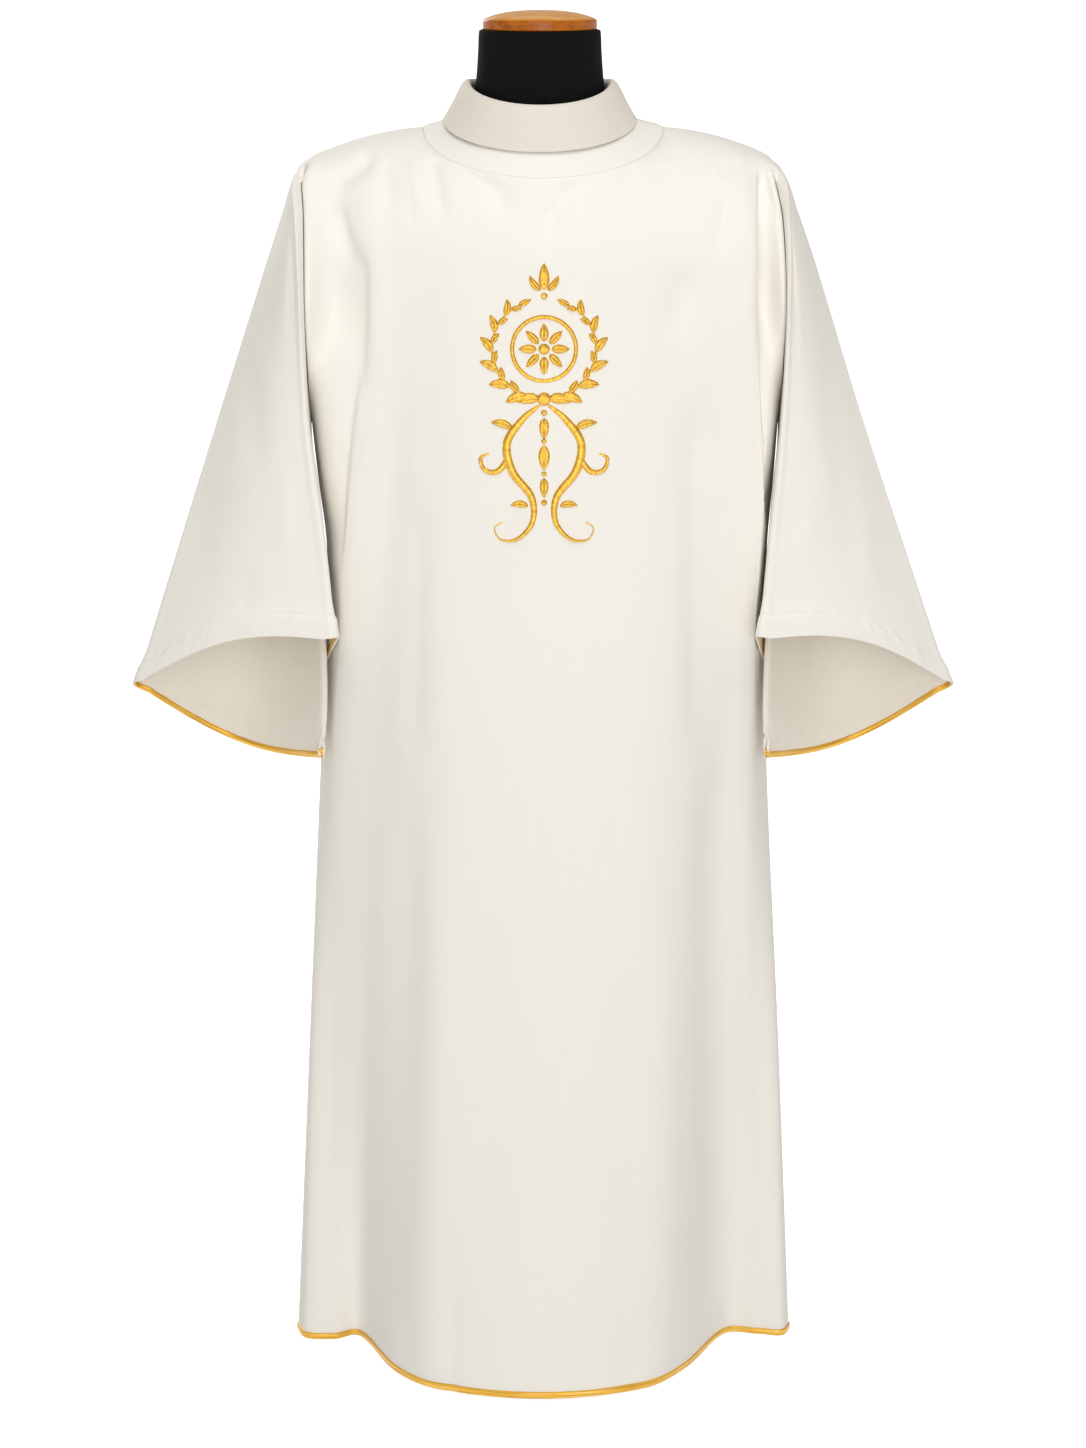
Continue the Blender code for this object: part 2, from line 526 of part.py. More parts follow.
def grid_faces(rows, outward):
    """Faces of a grid as point keys, with their order turned so that they face outward."""
    faces = []
    for upper, lower in zip(rows, rows[1:]):
        for i in range(len(upper) - 1):
            corners = [key(upper[i]), key(lower[i]), key(lower[i + 1]), key(upper[i + 1])]
            if outward < 0:
                corners.reverse()
            faces.append([corner for n, corner in enumerate(corners) if corner != corners[n - 1]])
    return faces


def point_normals(skins):
    """Normals of the whole garment: along a seam, the middle one of the pieces that meet there."""
    normals = {}
    for faces in skins:
        own = {}
        for face in faces:
            a, b, c = Vector(face[0]), Vector(face[1]), Vector(face[2])
            d = Vector(face[-1])
            turned = (c - a).cross(d - b) if len(face) == 4 else (b - a).cross(c - a)
            for corner in face:
                own[corner] = own.get(corner, Vector()) + turned
        for corner, normal in own.items():
            normals[corner] = normals.get(corner, Vector()) + normal.normalized()
    return {corner: normal.normalized() for corner, normal in normals.items()}


def carry_over(ring, shared, normals):
    """Gives the points of a seam that only one piece has the normals between those of their shared neighbours."""
    stops = [i for i, point in enumerate(ring) if key(point) in shared]
    for first, last in zip(stops, stops[1:]):
        for i in range(first + 1, last):
            share = (i - first) / (last - first)
            mixed = normals[key(ring[first])].lerp(normals[key(ring[last])], share)
            normals[key(ring[i])] = mixed.normalized()


def drawn_in(faces, normals, amount):
    """Where each point of a piece goes when its free edges are drawn in, square to the seam and its normal."""
    uses, moved = {}, {}
    for face in faces:
        for a, b in zip(face, face[1:] + face[:1]):
            uses[frozenset((a, b))] = uses.get(frozenset((a, b)), 0) + 1
    rim = {edge for edge, count in uses.items() if count == 1}
    for face in faces:
        centre = sum((Vector(corner) for corner in face), Vector()) / len(face)
        for a, b in zip(face, face[1:] + face[:1]):
            if frozenset((a, b)) not in rim:
                continue
            along = Vector(b) - Vector(a)
            for corner in (a, b):
                across = along.cross(normals[corner]).normalized()
                inward = centre - (Vector(a) + Vector(b)) / 2
                moved.setdefault(corner, []).append(across if across.dot(inward) > 0 else -across)
    places = {}
    for corner, ways in moved.items():
        way = sum(ways, Vector()) / len(ways)
        places[corner] = Vector(corner) + way * (amount / max(way.length_squared, 0.5))
    return places


def add_wall(name, faces, normals, finish, thickness=CLOTH, lift=0.0, gap=SEAM_GAP):
    """A closed wall: the outer skin, the inner skin and a rim along every free edge."""
    places = drawn_in(faces, normals, gap / 2)
    corners = sorted({corner for face in faces for corner in face})
    number = {corner: n for n, corner in enumerate(corners)}
    skin = [places.get(corner, Vector(corner)) for corner in corners]
    outer = [point + normals[corner] * lift for point, corner in zip(skin, corners)]
    inner = [point + normals[corner] * (lift - thickness) for point, corner in zip(skin, corners)]
    shift = len(corners)
    solid = []
    directed = set()
    for face in faces:
        ring = [number[corner] for corner in face]
        solid.append(ring)
        solid.append([n + shift for n in reversed(ring)])
        directed.update(zip(ring, ring[1:] + ring[:1]))
    for a, b in sorted(directed):
        if (b, a) not in directed:
            solid.append([b, a, a + shift, b + shift])
    return add_object(name, outer + inner, solid, finish)


def add_ribbon(name, edge, above, normals, lift, finish):
    """A closed ribbon along an edge of the cloth; above holds the next row of points up the cloth."""
    rows = [[], []]
    own = {}
    for low, high in zip(edge, above):
        up = (high - low).normalized()
        for row, reach in zip(rows, (RIBBON_WIDTH, 0.0)):
            point = low + up * reach
            own[key(point)] = normals[key(low)]
            row.append(point)
    faces = grid_faces(rows, 1)
    if sum((Vector(face[1]) - Vector(face[0])).cross(Vector(face[2]) - Vector(face[0])).dot(own[face[0]])
           for face in faces) < 0:
        faces = [face[::-1] for face in faces]
    add_wall(name, faces, own, finish, thickness=RIBBON, lift=lift, gap=0.0)


# ---------------------------------------------------------------- the support
def torso_place(x, y, z):
    """The torso's own point at a level, in the direction of a place."""
    half_width = read(FORM_COLUMNS, FORM_TORSO, "half_width", z)
    depth = read(FORM_COLUMNS, FORM_TORSO, "front" if y < 0 else "back", z)
    reach = math.hypot(x / half_width, y / depth)
    return Vector((x / reach, y / reach, z))


def form_body(front, back, normals, finish):
    """A closed body; front and back are the panels' rows, which its shoulders follow from below."""
    tip, neck = 2 * HALF, 2 * HALF - SHOULDER_COLUMNS
    chosen = [*range(0, SHOULDER_COLUMNS, 2), *range(SHOULDER_COLUMNS, neck + 1), *range(neck + 2, tip + 1, 2)]

    def under(point, k):
        inside = point - normals[key(point)] * (CLOTH + SEAT + FORM_EASE[k])
        if FORM_BLEND[k] == 0.0:
            return inside
        return inside.lerp(torso_place(inside.x, inside.y, inside.z), FORM_BLEND[k])

    fronts = [[under(front[k][i], k) for i in chosen] for k in range(CHEST_ROW + 1)]
    backs = [[under(back[k][i], k) for i in chosen] for k in range(CHEST_ROW + 1)]
    faces = grid_faces(fronts, 1) + grid_faces(backs, -1)
    for k in range(CHEST_ROW):
        for end, turn in ((0, 1), (-1, -1)):
            ring = [key(fronts[k][end]), key(backs[k][end]), key(backs[k + 1][end]), key(fronts[k + 1][end])]
            ring = [corner for n, corner in enumerate(ring) if corner != ring[n - 1]]
            faces.append(ring[::turn])

    angles = [2 * math.pi * j / AROUND_NECK for j in range(AROUND_NECK + 1)]
    necks = [[neck_ring(sizes, angle) for angle in angles] for sizes in FORM_NECK]
    shoulder_steps = len(range(0, SHOULDER_COLUMNS, 2))
    root = fronts[0][shoulder_steps:-shoulder_steps] + backs[0][shoulder_steps:-shoulder_steps][-2::-1]
    faces += grid_faces(necks + [root], 1)

    ring = fronts[-1] + backs[-1][::-1] + fronts[-1][:1]
    torso = [ring]
    for z, *_ in FORM_TORSO[FORM_TORSO_START:]:
        torso.append([torso_place(point.x, point.y, z) for point in ring])
    faces += grid_faces(torso, 1)
    faces.append([key(point) for point in necks[0][:-1]])
    faces.append([key(point) for point in torso[-1][-2::-1]])

    corners = sorted({corner for face in faces for corner in face})
    number = {corner: n for n, corner in enumerate(corners)}
    return add_object("form_body", corners, [[number[corner] for corner in face] for face in faces], finish)


def add_turned(name, profile, centre, around, finish):
    """A turned body: its profile runs from the axis at the bottom, round the outside, to the axis at the top."""
    points, rings = [], []
    for radius, z in profile:
        if radius == 0.0:
            rings.append([len(points)])
            points.append(Vector((centre[0], centre[1], z)))
            continue
        rings.append(list(range(len(points), len(points) + around)))
        for j in range(around):
            angle = 2 * math.pi * j / around
            points.append(Vector((centre[0] + radius * math.cos(angle), centre[1] + radius * math.sin(angle), z)))
    faces = []
    for low, high in zip(rings, rings[1:]):
        for j in range(around):
            k = (j + 1) % around
            ring = [low[j % len(low)], low[k % len(low)], high[k % len(high)], high[j % len(high)]]
            faces.append([corner for n, corner in enumerate(ring) if corner != ring[n - 1]])
    return add_object(name, points, faces, finish, smooth_below=30)


def stand(finish):
    socket_radius = POLE_RADIUS + FIT_GAP
    base = ((0.0, 0.0), (BASE_RADIUS - 0.002, 0.0), (BASE_RADIUS, 0.0015), (BASE_RADIUS, BASE_RIM - 0.001),
            (BASE_RADIUS - 0.002, BASE_RIM), (HUB_RADIUS + 0.012, BASE_CROWN), (HUB_RADIUS, BASE_CROWN + 0.006),
            (HUB_RADIUS, HUB_HEIGHT), (socket_radius, HUB_HEIGHT), (socket_radius, SOCKET_FLOOR),
            (0.0, SOCKET_FLOOR))
    add_turned("stand_base", base, (0.0, POLE_Y), STAND_AROUND, finish)
    top = FORM_TORSO[-1][0] - FIT_GAP
    pole = ((0.0, SOCKET_FLOOR + FIT_GAP), (POLE_RADIUS, SOCKET_FLOOR + FIT_GAP),
            (POLE_RADIUS, top - FLANGE_HEIGHT), (FLANGE_RADIUS, top - FLANGE_HEIGHT), (FLANGE_RADIUS, top),
            (0.0, top))
    add_turned("stand_pole", pole, (0.0, POLE_Y), STAND_AROUND, finish)


# ---------------------------------------------------------------- the whole
def build():
    for old in list(bpy.data.objects):
        bpy.data.objects.remove(old, do_unlink=True)
    ivory = material("ivory cloth", IVORY, 0.85)
    gold = material("gold satin ribbon", GOLD, 0.45)
    black = material("black jersey", BLACK, 0.9)
    amber = material("varnished wood", AMBER, 0.2)
    steel = material("black lacquered steel", STEEL, 0.4)

    front = panel((FRONT_LEFT, FRONT_RIGHT), -1)
    back = panel((BACK_LEFT, BACK_RIGHT), 1)
    left = sleeve((SLEEVE_LEFT, LOWER_LEFT), -1)
    right = sleeve((SLEEVE_RIGHT, LOWER_RIGHT), 1)
    skins = {
        "front": grid_faces(front, 1),
        "back": grid_faces(back, -1),
        "sleeve_left": grid_faces(left, -1),
        "sleeve_right": grid_faces(right, 1),
        "neck_band": grid_faces(neck_band(), 1),
    }
    torso = skins["front"] + skins["back"]
    normals = point_normals([torso, skins["sleeve_left"], skins["sleeve_right"], skins["neck_band"]])
    shared = {corner for face in torso for corner in face}
    for rows in (left, right):
        carry_over(rows[0], shared, normals)
    groove = [key(point) for side in (-1, 1) for facing in (-1, 1) for point in armhole(side, facing)[GROOVE_ROW:]]
    for name, faces in skins.items():
        own = dict(normals)
        single = point_normals([faces] if name.startswith("sleeve") else [torso])
        own.update({corner: single[corner] for corner in groove if corner in single})
        add_wall(name, faces, own, ivory)

    hem, above_hem = (front[r] + back[r][-2::-1] for r in (-1, -2))
    add_ribbon("hem_binding", hem, above_hem, normals, RIBBON + FIT_GAP, gold)
    for name, rows in (("left", left), ("right", right)):
        add_ribbon("cuff_binding_" + name, rows[-1], rows[-2], normals, -CLOTH - FIT_GAP, gold)

    roll = grid_faces(collar(), 1)
    add_wall("collar", roll, point_normals([roll]), ivory)

    form_body(front, back, normals, black)
    neck_top = FORM_NECK[0][3] + FIT_GAP
    cap = [(radius, neck_top + height) for radius, height in CAP_PROFILE]
    add_turned("neck_cap", cap, (NECK_X, 0.0), CAP_AROUND, amber)
    stand(steel)


build()
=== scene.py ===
import math
import random

import bpy
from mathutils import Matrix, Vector
from mathutils.bvhtree import BVHTree


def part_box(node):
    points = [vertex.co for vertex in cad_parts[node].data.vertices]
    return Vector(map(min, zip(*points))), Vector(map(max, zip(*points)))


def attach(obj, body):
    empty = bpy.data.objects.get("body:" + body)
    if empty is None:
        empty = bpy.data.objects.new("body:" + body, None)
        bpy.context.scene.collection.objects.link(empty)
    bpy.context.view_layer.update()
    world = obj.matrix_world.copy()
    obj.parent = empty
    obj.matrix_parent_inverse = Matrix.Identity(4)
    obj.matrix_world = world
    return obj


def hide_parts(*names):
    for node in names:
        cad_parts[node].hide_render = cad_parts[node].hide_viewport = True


print("Loading the frame")
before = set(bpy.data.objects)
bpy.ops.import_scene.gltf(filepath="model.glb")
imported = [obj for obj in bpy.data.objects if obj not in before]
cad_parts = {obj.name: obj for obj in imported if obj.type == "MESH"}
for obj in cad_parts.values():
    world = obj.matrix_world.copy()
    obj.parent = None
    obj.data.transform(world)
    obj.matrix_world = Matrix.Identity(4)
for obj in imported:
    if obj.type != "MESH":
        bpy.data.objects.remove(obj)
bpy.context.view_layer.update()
bpy.ops.object.select_all(action="DESELECT")


# The garment's sizes in metres, x from the middle, +z up, front towards -y. Rows and columns are those of
# the tables below.
garment = {
    "clothThickness": 0.0018,
    "seamDip": 0.0010,              # an edge rolls under by this much at a seam
    "seamWidth": 0.0011,            # and over this distance from it
    "armholeDip": 0.0110,           # the armhole seam lies this deep between two rolled edges
    "armholeDipStart": {-1: 0.2, 1: 1.9},   # from this row on the left and on the right
    "armholeDipGrowth": 1.4,        # rows until it is full
    "armholeDipEnd": (5.8, 7.6),    # rows where it fades out
    "panelRoll": 0.0100,            # how far each rolled edge reaches
    "sleeveRoll": 0.0150,
    "hemHeight": 0.0215,
    "neckSide": 0.1148,             # half width of the neck seam at the shoulder
    "neckSideHeight": 1.2712,
    "neckFront": 0.092,
    "neckBack": 0.078,
    "neckFrontSlope": 0.443,
    "neckBackSlope": 0.06,
    "shoulderSlope": 0.06,
    "shoulderCurve": 1.9,
    "shoulderLevel": 0.90,
    "shoulderRoll": 0.657,
    "edgeColumns": 6,               # columns over which a panel's side bends to the armhole
    "shoulderColumns": 8,
    "neckColumns": 7,
    "half": 15,                     # the middle column
    "chestRow": 5,
    "underarmRow": 9,
    "chestHeight": 1.150,
    "chestShares": (0.0, 0.15, 0.27, 0.41, 0.66, 1.0),   # of the way from the shoulder to the chest, by row
}

# The armhole seam from the shoulder's top to the underarm.
armholeColumns = ("row", "leftX", "rightX", "y", "z")
armholeRows = (
    (0, 0.2225, 0.2125, 0.000, 1.2450),
    (1, 0.2245, 0.2150, -0.020, 1.2420),
    (2, 0.2265, 0.2175, -0.036, 1.2370),
    (3, 0.2285, 0.2205, -0.051, 1.2255),
    (4, 0.2262, 0.2262, -0.067, 1.1950),
    (5, 0.2255, 0.2290, -0.080, 1.1500),
    (6, 0.2258, 0.2305, -0.082, 1.1000),
    (7, 0.2262, 0.2305, -0.056, 1.0450),
    (8, 0.2262, 0.2300, -0.027, 1.0100),
    (9, 0.2262, 0.2295, 0.000, 0.9850),
)

# The side seam from the underarm to the hem.
sideSeamColumns = ("z", "leftX", "rightX", "y")
sideSeamRows = (
    (0.985, 0.2262, 0.2295, 0.000),
    (0.930, 0.2215, 0.2268, 0.008),
    (0.860, 0.2145, 0.2222, 0.014),
    (0.780, 0.2175, 0.2245, 0.018),
    (0.650, 0.2240, 0.2256, 0.018),
    (0.350, 0.2400, 0.2420, 0.012),
    (0.0215, 0.2588, 0.2598, 0.020),
)

# Where the folds of a panel stand at each level, from its side to its middle.
featureColumns = {
    "seam": 0.0, "side": 1.5, "wing": 3.5, "valley": 5.5, "rise": 8.5, "brow": 11.0, "mid": 15.0,
}
sectionColumns = ("z", "sideX", "sideY", "wingX", "wingY", "valleyX", "valleyY", "riseX", "riseY", "browX",
                  "browY", "midY")
frontLeft = (
    (1.150, 0.1990, -0.064, 0.1650, -0.084, 0.1420, -0.088, 0.1180, -0.094, 0.076, -0.104, -0.112),
    (1.100, 0.1985, -0.060, 0.1640, -0.085, 0.1400, -0.089, 0.1160, -0.095, 0.076, -0.106, -0.114),
    (1.040, 0.2090, -0.066, 0.1670, -0.083, 0.1400, -0.087, 0.1150, -0.095, 0.076, -0.107, -0.115),
    (0.985, 0.2120, -0.060, 0.1740, -0.080, 0.1430, -0.083, 0.1160, -0.095, 0.077, -0.108, -0.116),
    (0.860, 0.2040, -0.043, 0.1880, -0.067, 0.1520, -0.076, 0.1220, -0.096, 0.080, -0.109, -0.118),
    (0.780, 0.2035, -0.030, 0.1945, -0.050, 0.1565, -0.070, 0.1243, -0.0945, 0.082, -0.1105, -0.1203),
    (0.650, 0.2165, -0.010, 0.2030, -0.036, 0.1640, -0.063, 0.1280, -0.092, 0.085, -0.113, -0.124),
    (0.350, 0.2350, -0.010, 0.2100, -0.024, 0.1760, -0.046, 0.1380, -0.090, 0.093, -0.120, -0.134),
    (0.0215, 0.2480, -0.004, 0.2180, -0.007, 0.1910, 0.0000, 0.1500, -0.086, 0.103, -0.128, -0.149),
)
frontRight = (
    (1.150, 0.2120, -0.068, 0.1980, -0.084, 0.1700, -0.088, 0.1360, -0.093, 0.085, -0.104, -0.112),
    (1.100, 0.2115, -0.064, 0.1985, -0.085, 0.1690, -0.088, 0.1340, -0.094, 0.085, -0.106, -0.114),
    (1.040, 0.2180, -0.071, 0.2000, -0.082, 0.1680, -0.086, 0.1330, -0.094, 0.085, -0.107, -0.115),
    (0.985, 0.2195, -0.069, 0.2025, -0.078, 0.1680, -0.082, 0.1340, -0.094, 0.086, -0.108, -0.116),
    (0.860, 0.2128, -0.057, 0.2040, -0.066, 0.1700, -0.074, 0.1360, -0.094, 0.088, -0.109, -0.118),
    (0.780, 0.2095, -0.032, 0.2047, -0.049, 0.1715, -0.067, 0.1368, -0.0925, 0.089, -0.1105, -0.1203),
    (0.650, 0.2170, -0.008, 0.2050, -0.038, 0.1740, -0.056, 0.1380, -0.090, 0.090, -0.113, -0.124),
    (0.350, 0.2370, -0.010, 0.2130, -0.023, 0.1800, -0.040, 0.1430, -0.088, 0.096, -0.120, -0.134),
    (0.0215, 0.2500, 0.0020, 0.2240, 0.0060, 0.1900, 0.0060, 0.1450, -0.078, 0.101, -0.125, -0.149),
)
backLeft = (
    (1.150, 0.2020, 0.0680, 0.1760, 0.0830, 0.1480, 0.0880, 0.1180, 0.0940, 0.076, 0.1000, 0.101),
    (1.100, 0.2010, 0.0620, 0.1760, 0.0820, 0.1480, 0.0860, 0.1180, 0.0920, 0.076, 0.0980, 0.099),
    (1.040, 0.2080, 0.0560, 0.1780, 0.0780, 0.1480, 0.0820, 0.1180, 0.0880, 0.076, 0.0950, 0.096),
    (0.985, 0.2130, 0.0400, 0.1800, 0.0680, 0.1500, 0.0780, 0.1190, 0.0860, 0.077, 0.0930, 0.094),
    (0.860, 0.2130, 0.0400, 0.1900, 0.0580, 0.1560, 0.0740, 0.1230, 0.0880, 0.080, 0.0980, 0.100),
    (0.650, 0.2190, 0.0340, 0.2050, 0.0480, 0.1680, 0.0640, 0.1300, 0.0940, 0.086, 0.1120, 0.116),
    (0.350, 0.2350, 0.0300, 0.2120, 0.0380, 0.1800, 0.0520, 0.1400, 0.0980, 0.094, 0.1260, 0.133),
    (0.0215, 0.2490, 0.0360, 0.2200, 0.0330, 0.1930, 0.0330, 0.1500, 0.1020, 0.104, 0.1380, 0.149),
)
backRight = (
    (1.150, 0.2080, 0.0690, 0.1820, 0.0820, 0.1520, 0.0880, 0.1200, 0.0940, 0.078, 0.1000, 0.101),
    (1.100, 0.2070, 0.0640, 0.1820, 0.0810, 0.1510, 0.0860, 0.1200, 0.0920, 0.078, 0.0980, 0.099),
    (1.040, 0.2120, 0.0560, 0.1860, 0.0770, 0.1520, 0.0820, 0.1200, 0.0880, 0.078, 0.0950, 0.096),
    (0.985, 0.2170, 0.0400, 0.1900, 0.0660, 0.1550, 0.0780, 0.1210, 0.0860, 0.079, 0.0930, 0.094),
    (0.860, 0.2190, 0.0400, 0.2040, 0.0560, 0.1620, 0.0720, 0.1260, 0.0880, 0.082, 0.0980, 0.100),
    (0.650, 0.2215, 0.0330, 0.2080, 0.0470, 0.1720, 0.0620, 0.1330, 0.0930, 0.088, 0.1120, 0.116),
    (0.350, 0.2370, 0.0300, 0.2140, 0.0360, 0.1830, 0.0480, 0.1420, 0.0950, 0.096, 0.1260, 0.133),
    (0.0215, 0.2500, 0.0370, 0.2220, 0.0340, 0.1920, 0.0300, 0.1470, 0.0980, 0.103, 0.1360, 0.149),
)

# A sleeve hangs as a flattened tube. Its section at each row, from the armhole to the cuff.
sleeveColumns = ("row", "outX", "outZ", "foldX", "foldY", "foldZ", "belly", "rise", "inX", "inY", "inZ",
                 "sag", "drop")
sleeveLeftRows = (
    (1, 0.2390, 1.2245, 0.2365, -0.056, 1.2262, 0.004, 0.000, 0.2365, 0.056, 1.2262, 0.004, 0.000),
    (3, 0.2645, 1.1500, 0.2315, -0.091, 1.1500, 0.010, 0.000, 0.2320, 0.089, 1.1500, 0.012, 0.000),
    (7, 0.3195, 0.9850, 0.2208, -0.101, 0.9850, 0.016, 0.004, 0.2360, 0.082, 0.9850, 0.018, 0.004),
    (9.5, 0.3630, 0.8530, 0.2080, -0.102, 0.8900, 0.016, 0.012, 0.2200, -0.012, 0.8250, 0.044, 0.018),
    (11, 0.3887, 0.7739, 0.2020, -0.104, 0.8330, 0.014, 0.018, 0.2152, -0.028, 0.7240, 0.055, 0.028),
    (12, 0.4058, 0.7212, 0.1985, -0.105, 0.7950, 0.012, 0.022, 0.2180, -0.033, 0.6560, 0.062, 0.034),
)
sleeveRightRows = (
    (1, 0.2320, 1.2265, 0.2295, -0.056, 1.2262, 0.004, 0.000, 0.2295, 0.056, 1.2262, 0.004, 0.000),
    (3, 0.2605, 1.1500, 0.2325, -0.090, 1.1500, 0.010, 0.000, 0.2330, 0.089, 1.1500, 0.012, 0.000),
    (7, 0.3140, 0.9850, 0.2248, -0.101, 0.9850, 0.016, 0.004, 0.2395, 0.082, 0.9850, 0.018, 0.004),
    (9.5, 0.3600, 0.8530, 0.2160, -0.102, 0.8900, 0.016, 0.012, 0.2250, -0.012, 0.8250, 0.044, 0.018),
    (11, 0.3875, 0.7739, 0.2106, -0.104, 0.8336, 0.014, 0.018, 0.2196, -0.028, 0.7240, 0.055, 0.028),
    (12, 0.4058, 0.7212, 0.2070, -0.105, 0.7960, 0.012, 0.022, 0.2200, -0.033, 0.6560, 0.062, 0.034),
)
# Below the underarm the side that faces the body, its turn and the seam have places of their own.
lowerColumns = ("row", "sideX", "sideY", "sideZ", "turnX", "turnY", "turnZ", "seamX", "seamY", "seamZ")
lowerLeftRows = (
    (7, 0.2207, -0.0606, 0.9850, 0.2236, -0.0283, 0.9850, 0.2262, 0.000, 0.9850),
    (9.5, 0.2100, -0.0500, 0.8700, 0.2165, -0.0100, 0.8560, 0.2400, 0.056, 0.8425),
    (11, 0.2070, -0.0440, 0.8140, 0.2140, -0.0088, 0.7970, 0.2400, 0.052, 0.7580),
    (12, 0.2068, -0.0440, 0.7740, 0.2146, -0.0120, 0.7560, 0.2410, 0.048, 0.7030),
)
lowerRightRows = (
    (7, 0.2247, -0.0606, 0.9850, 0.2273, -0.0283, 0.9850, 0.2295, 0.000, 0.9850),
    (9.5, 0.2175, -0.0500, 0.8700, 0.2225, -0.0100, 0.8560, 0.2460, 0.056, 0.8425),
    (11, 0.2145, -0.0450, 0.8140, 0.2190, -0.0088, 0.7970, 0.2465, 0.052, 0.7580),
    (12, 0.2140, -0.0440, 0.7740, 0.2192, -0.0120, 0.7560, 0.2470, 0.048, 0.7030),
)
sleeveCut = {
    "sideShares": (0.28, 0.60),     # where the side that faces the body bends, between its seam and its fold
    "underarmRow": 7,
    "armholeRow": 2,                # the armhole's row beside the sleeve's row 0
    "rows": 12,
    "rowShift": 0.45,               # the first row is nearer to the armhole by this share of a row
    "foldWidth": 0.008,
    "outerFolds": ((1, 0.008), (5, 0.009), (9.5, 0.014), (12, 0.026)),   # this fold opens towards the cuff
    "innerFolds": ((1, 0.008), (7, 0.008), (9.5, 0.0036), (12, 0.0028)),   # and this one sharpens
    "openFold": 0.018,              # an outer fold this much wider than the others
    "openFoldTilt": 0.0065,         # has its front raised, and its back lowered, by this much
    "pleatWidth": 0.020,
    "swingRow": 8.35,               # here the inner fold passes the underarm seam, and goes round outside it
    "swingReach": 0.65,
    "innerSwing": 0.0130,
    "seamSwing": 0.0060,
    "frontFold": 0.012,
    "sideBend": 0.012,
    "bendShare": 0.45,              # a bend takes up to this share of the straights beside it
    "edgeReach": 1.5,               # columns over which an edge is eased on to the armhole
    # the straights round the sleeve and the bends between them: fine steps, and table columns that they fill
    "runSteps": (3, 8, 9, 8, 64, 3, 58, 3, 16, 3),
    "bendSteps": (0, 3, 4, 4, 10, 5, 5, 5, 5, 3, 0),
    "runColumns": (1, 1, 2, 1, 4, 1, 4, 1, 2, 1),
    "bendColumns": (0, 1, 1, 1, 3, 2, 2, 2, 2, 1, 0),
    "outerCorner": 5,               # the bend at the front of the outer fold
    "creaseMargins": (0.3, 1.0),    # columns without creases beside the front fold and the outer fold
    "creaseGrowth": 0.5,            # columns over which they grow
    "creaseTop": 0.8,               # and rows, below the armhole
    "topSteps": 9,                  # fine rows above the first row, between rows and above the cuff
    "rowSteps": 8,
    "cuffSteps": 32,
}


# Small tools for curves and tables.
def hermite(start, end, startPull, endPull, share):
    square, cube = share * share, share ** 3
    return (start * (2 * cube - 3 * square + 1) + startPull * (cube - 2 * square + share)
            + end * (3 * square - 2 * cube) + endPull * (cube - square))


def smoothThrough(knots, values, at):
    last = len(knots) - 1
    rising = knots[-1] > knots[0]
    span = 0
    while span < last - 1 and (at > knots[span + 1] if rising else at < knots[span + 1]):
        span += 1
    width = knots[span + 1] - knots[span]
    before, after = max(span - 1, 0), min(span + 2, last)
    startSlope = (values[span + 1] - values[before]) / (knots[span + 1] - knots[before])
    endSlope = (values[after] - values[span]) / (knots[after] - knots[span])
    share = (at - knots[span]) / width
    return hermite(values[span], values[span + 1], startSlope * width, endSlope * width, share)


def readTable(names, rows, name, at):
    place = names.index(name)
    return smoothThrough([row[0] for row in rows], [row[place] for row in rows], at)


def smoothStep(low, high, value):
    share = min(max((value - low) / (high - low), 0.0), 1.0)
    return share * share * (3 - 2 * share)


def lengthsAlong(points):
    marks = [0.0]
    for a, b in zip(points, points[1:]):
        marks.append(marks[-1] + (b - a).length)
    return marks


def shoulderHeight(x):
    beyond = max(abs(x) - garment["neckSide"], 0.0)
    return (garment["neckSideHeight"] - garment["shoulderSlope"] * beyond
            - garment["shoulderCurve"] * beyond * beyond)


def armholePoint(side, facing, row):
    def column(name, at=row):
        return readTable(armholeColumns, armholeRows, name, at)

    across = "leftX" if side < 0 else "rightX"
    z = column("z")
    if row < 1:
        z += (shoulderHeight(column(across, 0)) - column("z", 0)) * (1 - row) ** 2
    return Vector((side * column(across), -facing * column("y"), z))


def armholeSink(side, facing, row, amount=1.0):
    step = 0.2
    low, high = armholePoint(side, facing, max(row - step, 0.0)), armholePoint(side, facing, row + step)
    inward = (facing * Vector((0.0, high.z - low.z, low.y - high.y))).normalized()
    start = garment["armholeDipStart"][side]
    growing = smoothStep(start, start + garment["armholeDipGrowth"], row)
    depth = garment["armholeDip"] * growing * (1 - smoothStep(*garment["armholeDipEnd"], row))
    return inward * depth * amount


def seamDip(distance):
    return garment["seamDip"] * math.exp(-(distance / garment["seamWidth"]) ** 2)


def neckSeam(angle, facing):
    depth = garment["neckFront"] if facing < 0 else garment["neckBack"]
    slope = garment["neckFrontSlope"] if facing < 0 else garment["neckBackSlope"]
    y = facing * depth * math.sin(angle)
    return Vector((-garment["neckSide"] * math.cos(angle), y, garment["neckSideHeight"] + slope * y))


